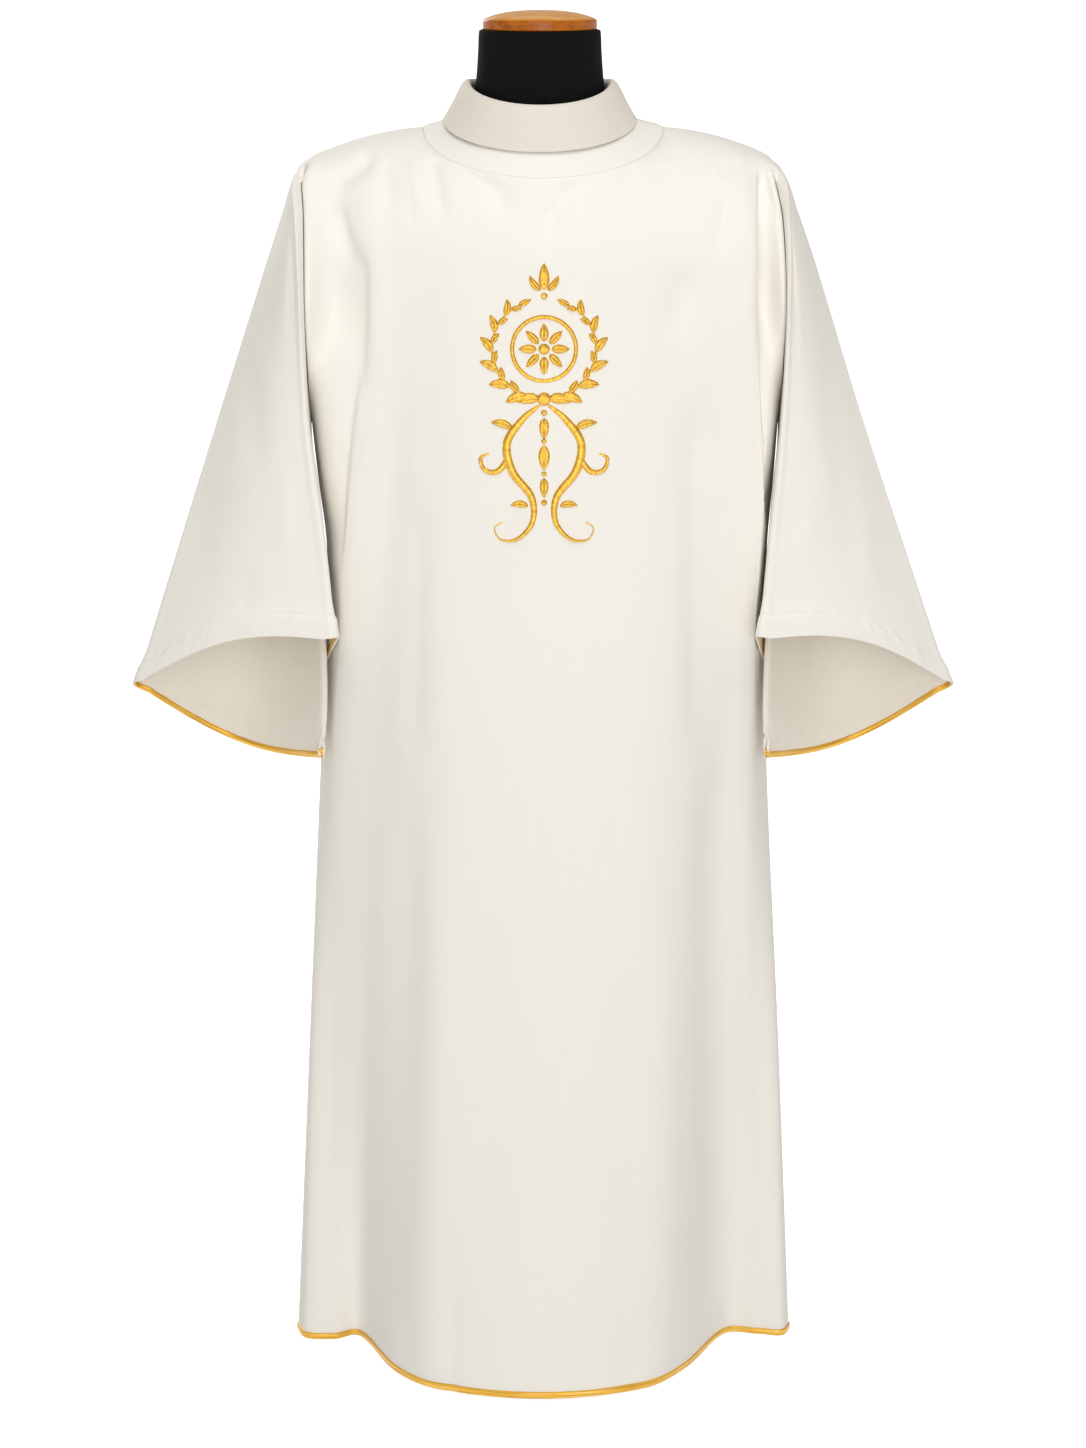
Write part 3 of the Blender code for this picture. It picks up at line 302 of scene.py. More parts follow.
# Creases: each runs from a start to an end, its middle pushed sideways by bend. Troughs have a depth below 0.
# With a lean above zero the flank on the +x side is the steep one, and below zero the other.
creaseColumns = ("startX", "startZ", "bend", "endX", "endZ", "width", "depth", "startFade", "endFade", "lean")
frontCreases = (
    (-0.1036, 1.2480, -0.003, -0.0871, 1.1797, 0.0075, -0.0034, 0.008, 0.035),
    (-0.0800, 1.2500, 0.004, -0.0262, 1.1909, 0.0120, -0.0048, 0.006, 0.030),
    (0.0470, 1.2450, -0.004, -0.0028, 1.1741, 0.0085, -0.0040, 0.006, 0.030),
    (0.0060, 1.2100, 0.001, -0.0030, 1.1600, 0.0070, -0.0016, 0.015, 0.025),
    (-0.1520, 1.2450, 0.002, -0.1432, 1.1927, 0.0080, -0.0026, 0.010, 0.025),
    (-0.1240, 1.2480, -0.002, -0.1110, 1.1900, 0.0070, 0.0018, 0.010, 0.030),
    (0.0880, 1.2450, -0.002, 0.0700, 1.1950, 0.0090, -0.0022, 0.010, 0.030),
    (0.1180, 1.2420, 0.001, 0.1120, 1.2050, 0.0080, -0.0014, 0.010, 0.020),
    (-0.1580, 1.2520, 0.003, -0.2020, 1.2200, 0.0085, -0.0058, 0.014, 0.012),
    (-0.1950, 1.2120, -0.004, -0.1740, 1.1400, 0.0120, -0.0060, 0.025, 0.030, 0.4),
    (-0.1716, 1.1700, 0.001, -0.1765, 1.0150, 0.0140, -0.0060, 0.035, 0.040, 0.5),
    (-0.1760, 1.0550, -0.002, -0.1990, 0.8500, 0.0130, -0.0068, 0.040, 0.050, 0.75),
    (0.1767, 1.2120, -0.002, 0.1652, 1.1573, 0.0095, -0.0042, 0.015, 0.020),
    (0.1893, 1.2440, 0.000, 0.1643, 1.2270, 0.0060, -0.0024, 0.008, 0.010),
    (0.2052, 1.2330, -0.001, 0.2060, 1.0770, 0.0095, -0.0064, 0.008, 0.045, -0.85),
    (0.2060, 1.1050, -0.002, 0.2180, 0.8850, 0.0080, -0.0052, 0.045, 0.040, -0.85),
    (0.2080, 1.2420, -0.003, 0.2230, 1.1850, 0.0035, -0.0020, 0.008, 0.020),
    (0.1344, 1.1500, 0.001, 0.1219, 1.0736, 0.0150, -0.0038, 0.025, 0.030),
    (0.1442, 1.0400, -0.002, 0.1533, 0.6382, 0.0150, -0.0050, 0.070, 0.100),
    (-0.1223, 0.9500, 0.002, -0.1309, 0.6382, 0.0150, -0.0040, 0.070, 0.100),
    (-0.1302, 0.6710, 0.002, -0.1560, 0.0500, 0.0150, -0.0026, 0.120, 0.060),
    (-0.1564, 0.6710, 0.001, -0.1754, 0.0300, 0.0130, 0.0014, 0.120, 0.050),
    (-0.1004, 0.6308, 0.001, -0.1198, 0.0215, 0.0160, 0.0018, 0.150, 0.020),
    (0.1583, 0.6710, -0.001, 0.1742, 0.0500, 0.0200, -0.0036, 0.120, 0.060),
    (0.1180, 0.5600, 0.001, 0.1290, 0.0215, 0.0150, 0.0016, 0.150, 0.020),
    (-0.0929, 0.1730, 0.001, -0.0909, 0.0000, 0.0080, -0.0012, 0.080, 0.010),
    (0.0210, 0.7600, 0.006, 0.0330, 0.2100, 0.0260, 0.0016, 0.150, 0.150),
    (-0.0450, 0.5900, -0.004, -0.0520, 0.1200, 0.0240, -0.0018, 0.150, 0.080),
    (0.0780, 0.5200, 0.003, 0.0860, 0.0215, 0.0180, -0.0020, 0.150, 0.020),
)
backCreases = (
    (-0.1300, 1.2400, 0.003, -0.0760, 1.1750, 0.0110, -0.0036, 0.010, 0.030),
    (0.1240, 1.2420, -0.003, 0.0600, 1.1800, 0.0120, -0.0040, 0.010, 0.030),
    (-0.0300, 1.2480, 0.001, -0.0200, 1.1900, 0.0090, -0.0024, 0.010, 0.030),
    (0.0480, 1.2450, -0.001, 0.0380, 1.1850, 0.0080, 0.0018, 0.010, 0.030),
    (-0.1900, 1.2150, -0.003, -0.1700, 1.1000, 0.0105, -0.0054, 0.030, 0.040, 0.6),
    (0.1920, 1.2200, 0.003, 0.1760, 1.1050, 0.0105, -0.0058, 0.030, 0.040, -0.7),
    (-0.1720, 1.1200, 0.001, -0.1860, 0.9200, 0.0110, -0.0048, 0.040, 0.060, 0.5),
    (0.1770, 1.1300, -0.001, 0.1930, 0.9300, 0.0110, -0.0044, 0.040, 0.060, -0.5),
    (-0.1500, 1.0600, 0.003, -0.1380, 0.6500, 0.0160, -0.0038, 0.080, 0.120),
    (0.1460, 1.0900, -0.002, 0.1420, 0.6800, 0.0170, -0.0040, 0.080, 0.120),
    (-0.0200, 1.0200, 0.005, -0.0340, 0.5200, 0.0240, -0.0022, 0.150, 0.150),
    (0.0600, 0.9000, -0.004, 0.0700, 0.3600, 0.0220, 0.0020, 0.150, 0.150),
    (-0.1400, 0.6500, 0.002, -0.1640, 0.0400, 0.0150, -0.0050, 0.100, 0.060),
    (0.1450, 0.6800, -0.002, 0.1660, 0.0500, 0.0160, -0.0050, 0.100, 0.060),
    (-0.0800, 0.4600, 0.002, -0.0880, 0.0215, 0.0160, 0.0030, 0.150, 0.020),
    (0.0900, 0.4200, 0.002, 0.0980, 0.0215, 0.0140, -0.0028, 0.150, 0.020),
)


def creasePath(crease):
    values = dict(zip(creaseColumns, crease))
    start = Vector((values["startX"], values["startZ"]))
    end = Vector((values["endX"], values["endZ"]))
    along = (end - start).normalized()
    middle = (start + end) / 2 + Vector((-along.y, along.x)) * values["bend"] * 2
    shares = [step / 8 for step in range(9)]
    places = [start.lerp(middle, share).lerp(middle.lerp(end, share), share) for share in shares]
    reach = 3 * values["width"]
    low = (min(p.x for p in places) - reach, min(p.y for p in places) - reach)
    high = (max(p.x for p in places) + reach, max(p.y for p in places) + reach)
    return {"places": places, "length": lengthsAlong(places)[-1], "low": low, "high": high, **values}


def creaseLift(creases, x, z):
    lift = 0.0
    for crease in creases:
        if not (crease["low"][0] < x < crease["high"][0] and crease["low"][1] < z < crease["high"][1]):
            continue
        here = Vector((x, z))
        nearest, gone, walked, flank = 1.0, 0.0, 0.0, 0.0
        for a, b in zip(crease["places"], crease["places"][1:]):
            step = b - a
            share = min(max((here - a).dot(step) / step.length_squared, 0.0), 1.0)
            away = here - a - step * share
            if away.length < nearest:
                nearest, gone, flank = away.length, walked + step.length * share, away.x
            walked += step.length
        fade = min(1.0, gone / crease["startFade"]) * min(1.0, (crease["length"] - gone) / crease["endFade"])
        fade = smoothStep(0.0, 1.0, max(fade, 0.0))
        lean = crease.get("lean", 0.0)
        width = crease["width"] * (1 - abs(lean) if flank * lean > 0 else 1)
        lift += crease["depth"] * fade * math.exp(-(nearest / width) ** 2)
    return lift


# Sheets of cloth, as grids of points.
def gridNormals(rows, outward, closed=False):
    normals = []
    last, width = len(rows) - 1, len(rows[0]) - 1
    for r, row in enumerate(rows):
        line = []
        up, down = rows[max(r - 1, 0)], rows[min(r + 1, last)]
        for i in range(width + 1):
            if closed:
                before, after = row[(i - 1) % width], row[(i + 1) % width]
            else:
                before, after = row[max(i - 1, 0)], row[min(i + 1, width)]
            normal = (down[i] - up[i]).cross(after - before) * outward
            line.append(normal.normalized() if normal.length > 1e-12 else Vector((0, 0, 1)))
        normals.append(line)
    return normals


def addMesh(name, points, faces, texturePlaces, materials):
    mesh = bpy.data.meshes.new(name)
    mesh.from_pydata(points, [], faces)
    layer = mesh.uv_layers.new(name="weave")
    for loop, place in zip(layer.data, texturePlaces):
        loop.uv = place
    for material in materials:
        mesh.materials.append(material)
    piece = bpy.data.objects.new(name, mesh)
    bpy.context.scene.collection.objects.link(piece)
    bpy.ops.object.select_all(action="DESELECT")
    piece.select_set(True)
    bpy.context.view_layer.objects.active = piece
    return piece


# A grid becomes a thin shell with rounded edges. The first material is on its outside, a second one inside.
def addSheet(name, rows, texturePlaces, outward, materials, thickness, closed=False, edgeRound=0.0005):
    width = len(rows[0])
    ring = width - 1 if closed else width
    points = [row[i] for row in rows for i in range(ring)]
    faces, places = [], []
    for r in range(len(rows) - 1):
        for i in range(width - 1):
            corners = [(r, i), (r + 1, i), (r + 1, i + 1), (r, i + 1)]
            if outward < 0:
                corners.reverse()
            faces.append([row * ring + column % ring for row, column in corners])
            places += [texturePlaces[row][column] for row, column in corners]
    piece = addMesh(name, points, faces, places, materials)
    bpy.ops.object.shade_smooth()
    wall = piece.modifiers.new("wall", "SOLIDIFY")
    wall.thickness = thickness
    wall.offset = -1.0
    wall.use_quality_normals = True
    wall.material_offset = len(materials) - 1
    bpy.ops.object.modifier_apply(modifier=wall.name)
    if edgeRound:
        rounding = piece.modifiers.new("roundedEdge", "BEVEL")
        rounding.width = edgeRound
        rounding.segments = 2
        rounding.limit_method = "ANGLE"
        rounding.angle_limit = math.radians(60)
        rounding.use_clamp_overlap = True
        bpy.ops.object.modifier_apply(modifier=rounding.name)
    bpy.ops.object.shade_smooth_by_angle(angle=math.radians(50))
    piece.select_set(False)
    return piece


# Texture places in real size: across from a middle column, and down from the row numbered level. Rows above
# that one keep straight threads.
def sheetTexture(rows, middle, level):
    def across(row):
        places = [0.0] * len(row)
        for n in range(middle + 1, len(row)):
            places[n] = places[n - 1] + (row[n] - row[n - 1]).length
        for n in range(middle - 1, -1, -1):
            places[n] = places[n + 1] - (row[n + 1] - row[n]).length
        return places

    width = range(len(rows[0]))
    extra = [place - point.x for place, point in zip(across(rows[level]), rows[level])]
    down = [[0.0 for _ in width] for _ in rows]
    for r in range(level + 1, len(rows)):
        down[r] = [down[r - 1][n] - (rows[r][n] - rows[r - 1][n]).length for n in width]
    for r in range(level - 1, -1, -1):
        down[r] = [down[r + 1][n] + (rows[r + 1][n] - rows[r][n]).length for n in width]
    places = []
    for r, row in enumerate(rows):
        sideways = across(row) if r >= level else [point.x + more for point, more in zip(row, extra)]
        places.append(list(zip(sideways, down[r])))
    return places


def lifted(rows, normals, lift):
    return [[point + normal * lift(r, i, point) for i, (point, normal) in enumerate(zip(row, line))]
            for r, (row, line) in enumerate(zip(rows, normals))]


def areaOf(rows):
    total = 0.0
    for upper, lower in zip(rows, rows[1:]):
        for i in range(len(upper) - 1):
            total += (lower[i] - upper[i + 1]).cross(lower[i + 1] - upper[i]).length / 2
    return total


# Finishes. Each starts from what the real surface is; colours are sRGB hex values.
def linearColour(hexValue):
    channels = [int(hexValue[i:i + 2], 16) / 255 for i in (1, 3, 5)]
    return (*[c / 12.92 if c <= 0.04045 else ((c + 0.055) / 1.055) ** 2.4 for c in channels], 1.0)


def rampStops(ramp, stops):
    elements = ramp.color_ramp.elements
    while len(elements) > len(stops):
        elements.remove(elements[-1])
    for n, (place, colour) in enumerate(stops):
        element = elements[n] if n < len(elements) else elements.new(place)
        element.position = place
        element.color = linearColour(colour)


# Links come in from other nodes, and feeds go out to the shader.
def addNode(material, kind, settings=(), links=(), feeds=()):
    tree = material.node_tree
    node = tree.nodes.new(kind)
    for name, value in dict(settings).items():
        if name == "stops":
            rampStops(node, value)
        elif isinstance(name, str) and hasattr(node, name):
            setattr(node, name, value)
        else:
            node.inputs[name].default_value = value
    for name, source in dict(links).items():
        tree.links.new(source, node.inputs[name])
    for name, socket in dict(feeds).items():
        tree.links.new(node.outputs[name], tree.nodes["Principled BSDF"].inputs[socket])
    return node


def newMaterial(name, colour, roughness, settings=()):
    material = bpy.data.materials.new(name)
    material.use_nodes = True
    shader = material.node_tree.nodes["Principled BSDF"]
    shader.inputs["Base Color"].default_value = linearColour(colour)
    shader.inputs["Roughness"].default_value = roughness
    for socket, value in dict(settings).items():
        shader.inputs[socket].default_value = value
    return material


waveRepeat = 0.3142                 # a wave texture of scale 1 repeats after this length
ivoryWeave = {
    "colour": "#F5F2EB",
    "shade": "#EEEBE3",
    # the collar's copy of the cloth is painted darker, a painted shade for its steep face
    "collarShadeColour": "#E5E0D4",
    "collarShadeDark": "#DED7C9",
    # the wrong side's copy is painted warmer and darker, a painted warm shade for the inside of the sleeves
    # and cuffs
    "insideWarmShadeColour": "#F5EFE4",
    "insideWarmShadeDark": "#EDE5D6",
    "twillPitch": 0.0015,           # real wales are 0.5 mm apart, drawn this coarse so that they show
    "twillAngle": 34,
    "twillDepth": 0.00005,
    "threadStreak": 0.0014,
}


def makeIvoryCloth(name, colour, shade):
    # Wool and polyester gabardine: matt, a faint diagonal wale, slightly uneven warp threads.
    material = newMaterial(name, colour, 0.80, {"IOR": 1.45, "Sheen Weight": 0.10, "Sheen Roughness": 0.5})
    weave = addNode(material, "ShaderNodeUVMap", {"uv_map": "weave"})
    turned = addNode(material, "ShaderNodeMapping",
                     {"Rotation": (0, 0, math.radians(ivoryWeave["twillAngle"]))},
                     {"Vector": weave.outputs["UV"]})
    wales = addNode(material, "ShaderNodeTexWave",
                    {"wave_type": "BANDS", "bands_direction": "X", "wave_profile": "SIN",
                     "Scale": waveRepeat / ivoryWeave["twillPitch"], "Distortion": 1.6, "Detail": 2.0,
                     "Detail Scale": 0.8}, {"Vector": turned.outputs["Vector"]})
    streaks = addNode(material, "ShaderNodeMapping", {"Scale": (1 / ivoryWeave["threadStreak"], 14.0, 1.0)},
                      {"Vector": weave.outputs["UV"]})
    threads = addNode(material, "ShaderNodeTexNoise", {"Scale": 1.0, "Detail": 2.0, "Roughness": 0.5},
                      {"Vector": streaks.outputs["Vector"]})
    both = addNode(material, "ShaderNodeMix", {"data_type": "FLOAT", "Factor": 0.55},
                   {"A": threads.outputs["Fac"], "B": wales.outputs["Fac"]})
    addNode(material, "ShaderNodeValToRGB", {"stops": ((0.20, shade), (0.62, colour))},
            {"Fac": both.outputs["Result"]}, {"Color": "Base Color"})
    waleBump = addNode(material, "ShaderNodeBump", {"Strength": 0.4, "Distance": ivoryWeave["twillDepth"]},
                       {"Height": wales.outputs["Fac"]})
    addNode(material, "ShaderNodeBump", {"Strength": 0.15, "Distance": 0.00005},
            {"Height": threads.outputs["Fac"], "Normal": waleBump.outputs["Normal"]}, {"Normal": "Normal"})
    return material


def makeRibbonSatin():
    # Rayon satin ribbon with lengthwise streaks: the light streaks along its threads are a painted sheen, the
    # deeper gold between them painted shade.
    material = newMaterial("goldSatinRibbon", "#E0A62A", 0.38, {"Metallic": 0.35})
    weave = addNode(material, "ShaderNodeUVMap", {"uv_map": "weave"})
    stretched = addNode(material, "ShaderNodeMapping", {"Scale": (14.0, 1500.0, 1.0)},
                        {"Vector": weave.outputs["UV"]})
    threads = addNode(material, "ShaderNodeTexNoise", {"Scale": 1.0, "Detail": 2.0, "Roughness": 0.55},
                      {"Vector": stretched.outputs["Vector"]})
    # Light streaks are a painted sheen, dark ones painted shade between the threads.
    addNode(material, "ShaderNodeValToRGB",
            {"stops": ((0.30, "#A87410"), (0.52, "#DCA62C"), (0.72, "#FFDE78"))},
            {"Fac": threads.outputs["Fac"]}, {"Color": "Base Color"})
    addNode(material, "ShaderNodeBump", {"Strength": 0.5, "Distance": 0.00012},
            {"Height": threads.outputs["Fac"]}, {"Normal": "Normal"})
    return material


def makeStitchGold():
    # Rayon embroidery thread in satin stitch: short glossy threads side by side, across each shape.
    material = newMaterial("goldSatinStitch", "#D08A04", 0.32, {"Metallic": 0.85})
    weave = addNode(material, "ShaderNodeUVMap", {"uv_map": "weave"})
    laid = addNode(material, "ShaderNodeMapping", {"Scale": (1.0, 0.06, 1.0)},
                   {"Vector": weave.outputs["UV"]})
    threadPitch = 0.0010            # real threads are 0.4 mm apart, drawn this coarse so that they show
    threads = addNode(material, "ShaderNodeTexWave",
                      {"wave_type": "BANDS", "bands_direction": "X", "wave_profile": "SIN",
                       "Scale": waveRepeat / threadPitch, "Distortion": 1.2, "Detail": 1.0,
                       "Detail Scale": 1.5}, {"Vector": laid.outputs["Vector"]})
    uneven = addNode(material, "ShaderNodeTexNoise", {"Scale": 260.0, "Detail": 2.0},
                     {"Vector": laid.outputs["Vector"]})
    both = addNode(material, "ShaderNodeMix", {"data_type": "FLOAT", "Factor": 0.45},
                   {"A": threads.outputs["Fac"], "B": uneven.outputs["Fac"]})
    # Bright in each thread's middle and dark between the threads: painted highlights and painted shade, with
    # uneven tone from the noise.
    addNode(material, "ShaderNodeValToRGB",
            {"stops": ((0.24, "#744200"), (0.50, "#D08A04"), (0.74, "#FFDE68"))},
            {"Fac": both.outputs["Result"]}, {"Color": "Base Color"})
    addNode(material, "ShaderNodeBump", {"Strength": 0.7, "Distance": 0.00022},
            {"Height": both.outputs["Result"]}, {"Normal": "Normal"})
    return material


def makeJersey():
    # Black viscose jersey drawn tight over the form: fine knit ribs and a little pile.
    material = newMaterial("blackJersey", "#0D0D0D", 0.9,
                           {"IOR": 1.35, "Specular IOR Level": 0.15, "Sheen Weight": 0.02,
                            "Sheen Roughness": 0.4, "Sheen Tint": linearColour("#4A4A4C")})
    place = addNode(material, "ShaderNodeTexCoord")
    ribs = addNode(material, "ShaderNodeMapping", {"Scale": (1.0, 1.0, 0.18)},
                   {"Vector": place.outputs["Object"]})
    # Real wales are 0.6 mm apart, drawn at 1.4 mm so that they show.
    knit = addNode(material, "ShaderNodeTexNoise", {"Scale": 700.0, "Detail": 2.0, "Roughness": 0.5},
                   {"Vector": ribs.outputs["Vector"]})
    addNode(material, "ShaderNodeValToRGB", {"stops": ((0.30, "#0A0A0A"), (0.70, "#111111"))},
            {"Fac": knit.outputs["Fac"]}, {"Color": "Base Color"})
    addNode(material, "ShaderNodeBump", {"Strength": 0.2, "Distance": 0.0001},
            {"Height": knit.outputs["Fac"]}, {"Normal": "Normal"})
    return material


def makeVarnishedWood():
    # Turned beech under amber varnish, with grain; above the rim the dome is painted lighter, a painted light
    # for the top that faces the lamps.
    material = newMaterial("varnishedBeech", "#AE6608", 0.50,
                           {"IOR": 1.4, "Specular IOR Level": 0.14, "Coat Weight": 0.22,
                            "Coat Roughness": 0.08})
    place = addNode(material, "ShaderNodeTexCoord")
    turned = addNode(material, "ShaderNodeMapping", {"Scale": (6.0, 90.0, 60.0), "Rotation": (0, 0, 0.12)},
                     {"Vector": place.outputs["Object"]})
    grain = addNode(material, "ShaderNodeTexNoise",
                    {"Scale": 2.2, "Detail": 4.0, "Roughness": 0.6, "Distortion": 0.5},
                    {"Vector": turned.outputs["Vector"]})
    axes = addNode(material, "ShaderNodeSeparateXYZ", {}, {"Vector": place.outputs["Object"]})
    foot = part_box("neck_cap")[0][2]
    # Above the rim the colour moves up the ramp: painted light on the dome's top.
    paintedDomeLight = addNode(material, "ShaderNodeMapRange",
                     {"From Min": foot + 0.0090, "From Max": foot + 0.0108, "To Min": 0.0, "To Max": 0.5},
                     {"Value": axes.outputs["Z"]})
    tone = addNode(material, "ShaderNodeMath", {"operation": "MULTIPLY_ADD", 1: 0.5},
                   {0: grain.outputs["Fac"], 2: paintedDomeLight.outputs["Result"]})
    addNode(material, "ShaderNodeValToRGB",
            {"stops": ((0.16, "#8C4400"), (0.26, "#B05E00"), (0.36, "#C46E04"), (0.66, "#CE8A34"),
                       (0.76, "#DDA058"), (0.86, "#ECBC80"))},
            {"Fac": tone.outputs["Value"]}, {"Color": "Base Color"})
    addNode(material, "ShaderNodeBump", {"Strength": 0.25, "Distance": 0.0002},
            {"Height": grain.outputs["Fac"]}, {"Normal": "Normal"})
    return material


def makeLacqueredSteel():
    # Steel under black stoving enamel: a fine orange peel, more and less glossy in patches.
    material = newMaterial("blackStovedSteel", "#17181A", 0.34, {"IOR": 1.5})
    place = addNode(material, "ShaderNodeTexCoord")
    peel = addNode(material, "ShaderNodeTexNoise", {"Scale": 420.0, "Detail": 2.0},
                   {"Vector": place.outputs["Object"]})
    wear = addNode(material, "ShaderNodeTexNoise", {"Scale": 22.0, "Detail": 4.0},
                   {"Vector": place.outputs["Object"]})
    addNode(material, "ShaderNodeMapRange",
            {"From Min": 0.3, "From Max": 0.7, "To Min": 0.28, "To Max": 0.44},
            {"Value": wear.outputs["Fac"]}, {"Result": "Roughness"})
    addNode(material, "ShaderNodeValToRGB", {"stops": ((0.3, "#131416"), (0.7, "#1C1D20"))},
            {"Fac": wear.outputs["Fac"]}, {"Color": "Base Color"})
    addNode(material, "ShaderNodeBump", {"Strength": 0.2, "Distance": 0.0001},
            {"Height": peel.outputs["Fac"]}, {"Normal": "Normal"})
    return material


def makeSeamThreadAndShade():
    # Polyester thread pulled into the neck seam, coloured buff, darker than the cloth: real stitches whose
    # dark colour is a painted shade line along the seam's gap.
    material = newMaterial("buffSeamThreadAndShade", "#C7B08A", 0.7, {"Specular IOR Level": 0.3})
    place = addNode(material, "ShaderNodeTexCoord")
    plies = addNode(material, "ShaderNodeTexNoise", {"Scale": 900.0, "Detail": 1.0},
                    {"Vector": place.outputs["Object"]})
    addNode(material, "ShaderNodeValToRGB", {"stops": ((0.35, "#B39A72"), (0.65, "#D6C29E"))},
            {"Fac": plies.outputs["Fac"]}, {"Color": "Base Color"})
    return material


ivoryCloth = makeIvoryCloth("ivoryGabardine", ivoryWeave["colour"], ivoryWeave["shade"])
# The collar's cloth is the same gabardine painted darker: painted shade for its steep face, which the top
# light misses.
collarShadeCloth = makeIvoryCloth("ivoryGabardineCollarShade", ivoryWeave["collarShadeColour"], ivoryWeave["collarShadeDark"])
# The wrong side of the cloth, inside the panels and sleeves: painted warmer, a painted warm shade for the
# light bounced inside the cuffs.
insideWarmShadeCloth = makeIvoryCloth("ivoryGabardineWrongSideWarmShade", ivoryWeave["insideWarmShadeColour"], ivoryWeave["insideWarmShadeDark"])
ribbonSatin = makeRibbonSatin()
stitchGold = makeStitchGold()
seamThreadAndShade = makeSeamThreadAndShade()
jersey = makeJersey()
varnishedWood = makeVarnishedWood()
lacqueredSteel = makeLacqueredSteel()


# Panels.
panelMesh = {
    "columnSteps": 8,               # fine columns in each of the table's columns
    "seamColumns": (0.03, 0.07, 0.18, 0.31, 0.44, 0.56),   # more of them beside the seams
    "drapeRows": 34,
    "armholeRows": 24,
    "skirtRows": 74,
    "creaseSides": 0.9,             # creases grow over these columns from the sides
    "creaseTop": 0.014,             # and over this distance from the shoulder and the neck
}


def sectionFeatures(tables, z, row):
    names = list(featureColumns)
    knots = [featureColumns[name] for name in names]
    knots += [2 * garment["half"] - knot for knot in reversed(knots[:-1])]
    facing = math.copysign(1, tables[0][0][-1])
    sides = {}
    for side, table in ((-1, tables[0]), (1, tables[1])):
        own = []
        for name in names[1:]:
            x = 0.0 if name == "mid" else readTable(sectionColumns, table, name + "X", z)
            own.append((x, readTable(sectionColumns, table, name + "Y", z)))
        if row is None:
            seamX = readTable(sideSeamColumns, sideSeamRows, "leftX" if side < 0 else "rightX", z)
            seam = (seamX, readTable(sideSeamColumns, sideSeamRows, "y", z))
        else:
            edge = armholePoint(side, facing, row)
            seam = (abs(edge.x), edge.y)
        own.insert(0, seam)
        xs = [-place[0] for place in own] + [place[0] for place in reversed(own[:-1])]
        ys = [place[1] for place in own] + [place[1] for place in reversed(own[:-1])]
        sides[side] = (xs, ys)
    return knots, sides


def sectionRow(tables, columns, z, row=None):
    knots, sides = sectionFeatures(tables, z, row)
    points = []
    for i in columns:
        side = -1 if i <= garment["half"] else 1
        place = i if side < 0 else 2 * garment["half"] - i
        xs, ys = sides[side]
        x, y = smoothThrough(knots, xs, place), smoothThrough(knots, ys, place)
        points.append(Vector((-side * x, y, z)))
    return points


def panelRows(tables, facing):
    half, shoulder, neck = garment["half"], garment["shoulderColumns"], garment["neckColumns"]
    steps = panelMesh["columnSteps"]
    columns = [n / steps for n in range(2 * half * steps + 1)]
    columns += [place for near in panelMesh["seamColumns"] for place in (near, 2 * half - near)]
    columns.sort()
    top = []
    for i in columns:
        if shoulder <= i <= 2 * half - shoulder:
            top.append(neckSeam(math.pi * (i - shoulder) / (2 * neck), facing))
        else:
            side = -1 if i < half else 1
            tip = armholePoint(side, facing, 0).x
            share = i / shoulder if side < 0 else (2 * half - i) / shoulder
            x = tip + (side * garment["neckSide"] - tip) * share
            top.append(Vector((x, 0.0, shoulderHeight(x))))
    chestRow = garment["chestRow"]
    justBelow = chestRow + 0.1
    chest = sectionRow(tables, columns, garment["chestHeight"], chestRow)
    below = sectionRow(tables, columns, armholePoint(-1, facing, justBelow).z, justBelow)

    def draped(n, share):
        way = chest[n] - top[n]
        edge = min(columns[n], 2 * half - columns[n])
        angle = math.pi / 2 * max(edge - shoulder, 0) / neck
        level = garment["shoulderLevel"] * math.cos(angle)
        over = garment["shoulderRoll"] * level
        start = Vector((way.x, way.y * (1 + over), way.z * (1 - level)))
        falling = (below[n] - chest[n]) * (way.z / (below[n].z - chest[n].z)) * (1 + over)
        return hermite(top[n], chest[n], start, falling, share)

    rows, marks = [top], [0.0]
    for step in range(1, panelMesh["drapeRows"] + 1):
        knot = chestRow * (step / panelMesh["drapeRows"])
        share = smoothThrough(range(chestRow + 1), garment["chestShares"], knot)
        borders = (armholePoint(-1, facing, knot) - draped(0, share),
                   armholePoint(1, facing, knot) - draped(len(columns) - 1, share))
        row = []
        for n, i in enumerate(columns):
            edge = min(i, 2 * half - i)
            near = max(0.0, 1.0 - edge / garment["edgeColumns"]) ** 2
            row.append(draped(n, share) + borders[0 if i <= half else 1] * near)
        rows.append(row)
        marks.append(knot)
    for step in range(1, panelMesh["armholeRows"] + 1):
        knot = chestRow + (garment["underarmRow"] - chestRow) * step / panelMesh["armholeRows"]
        z = armholePoint(-1, facing, knot).z
        rows.append(sectionRow(tables, columns, z, knot))
        marks.append(knot)
    topZ = sideSeamRows[0][0]
    for step in range(1, panelMesh["skirtRows"] + 1):
        z = topZ + (garment["hemHeight"] - topZ) * (step / panelMesh["skirtRows"])
        rows.append(sectionRow(tables, columns, z))
    return rows, columns, marks


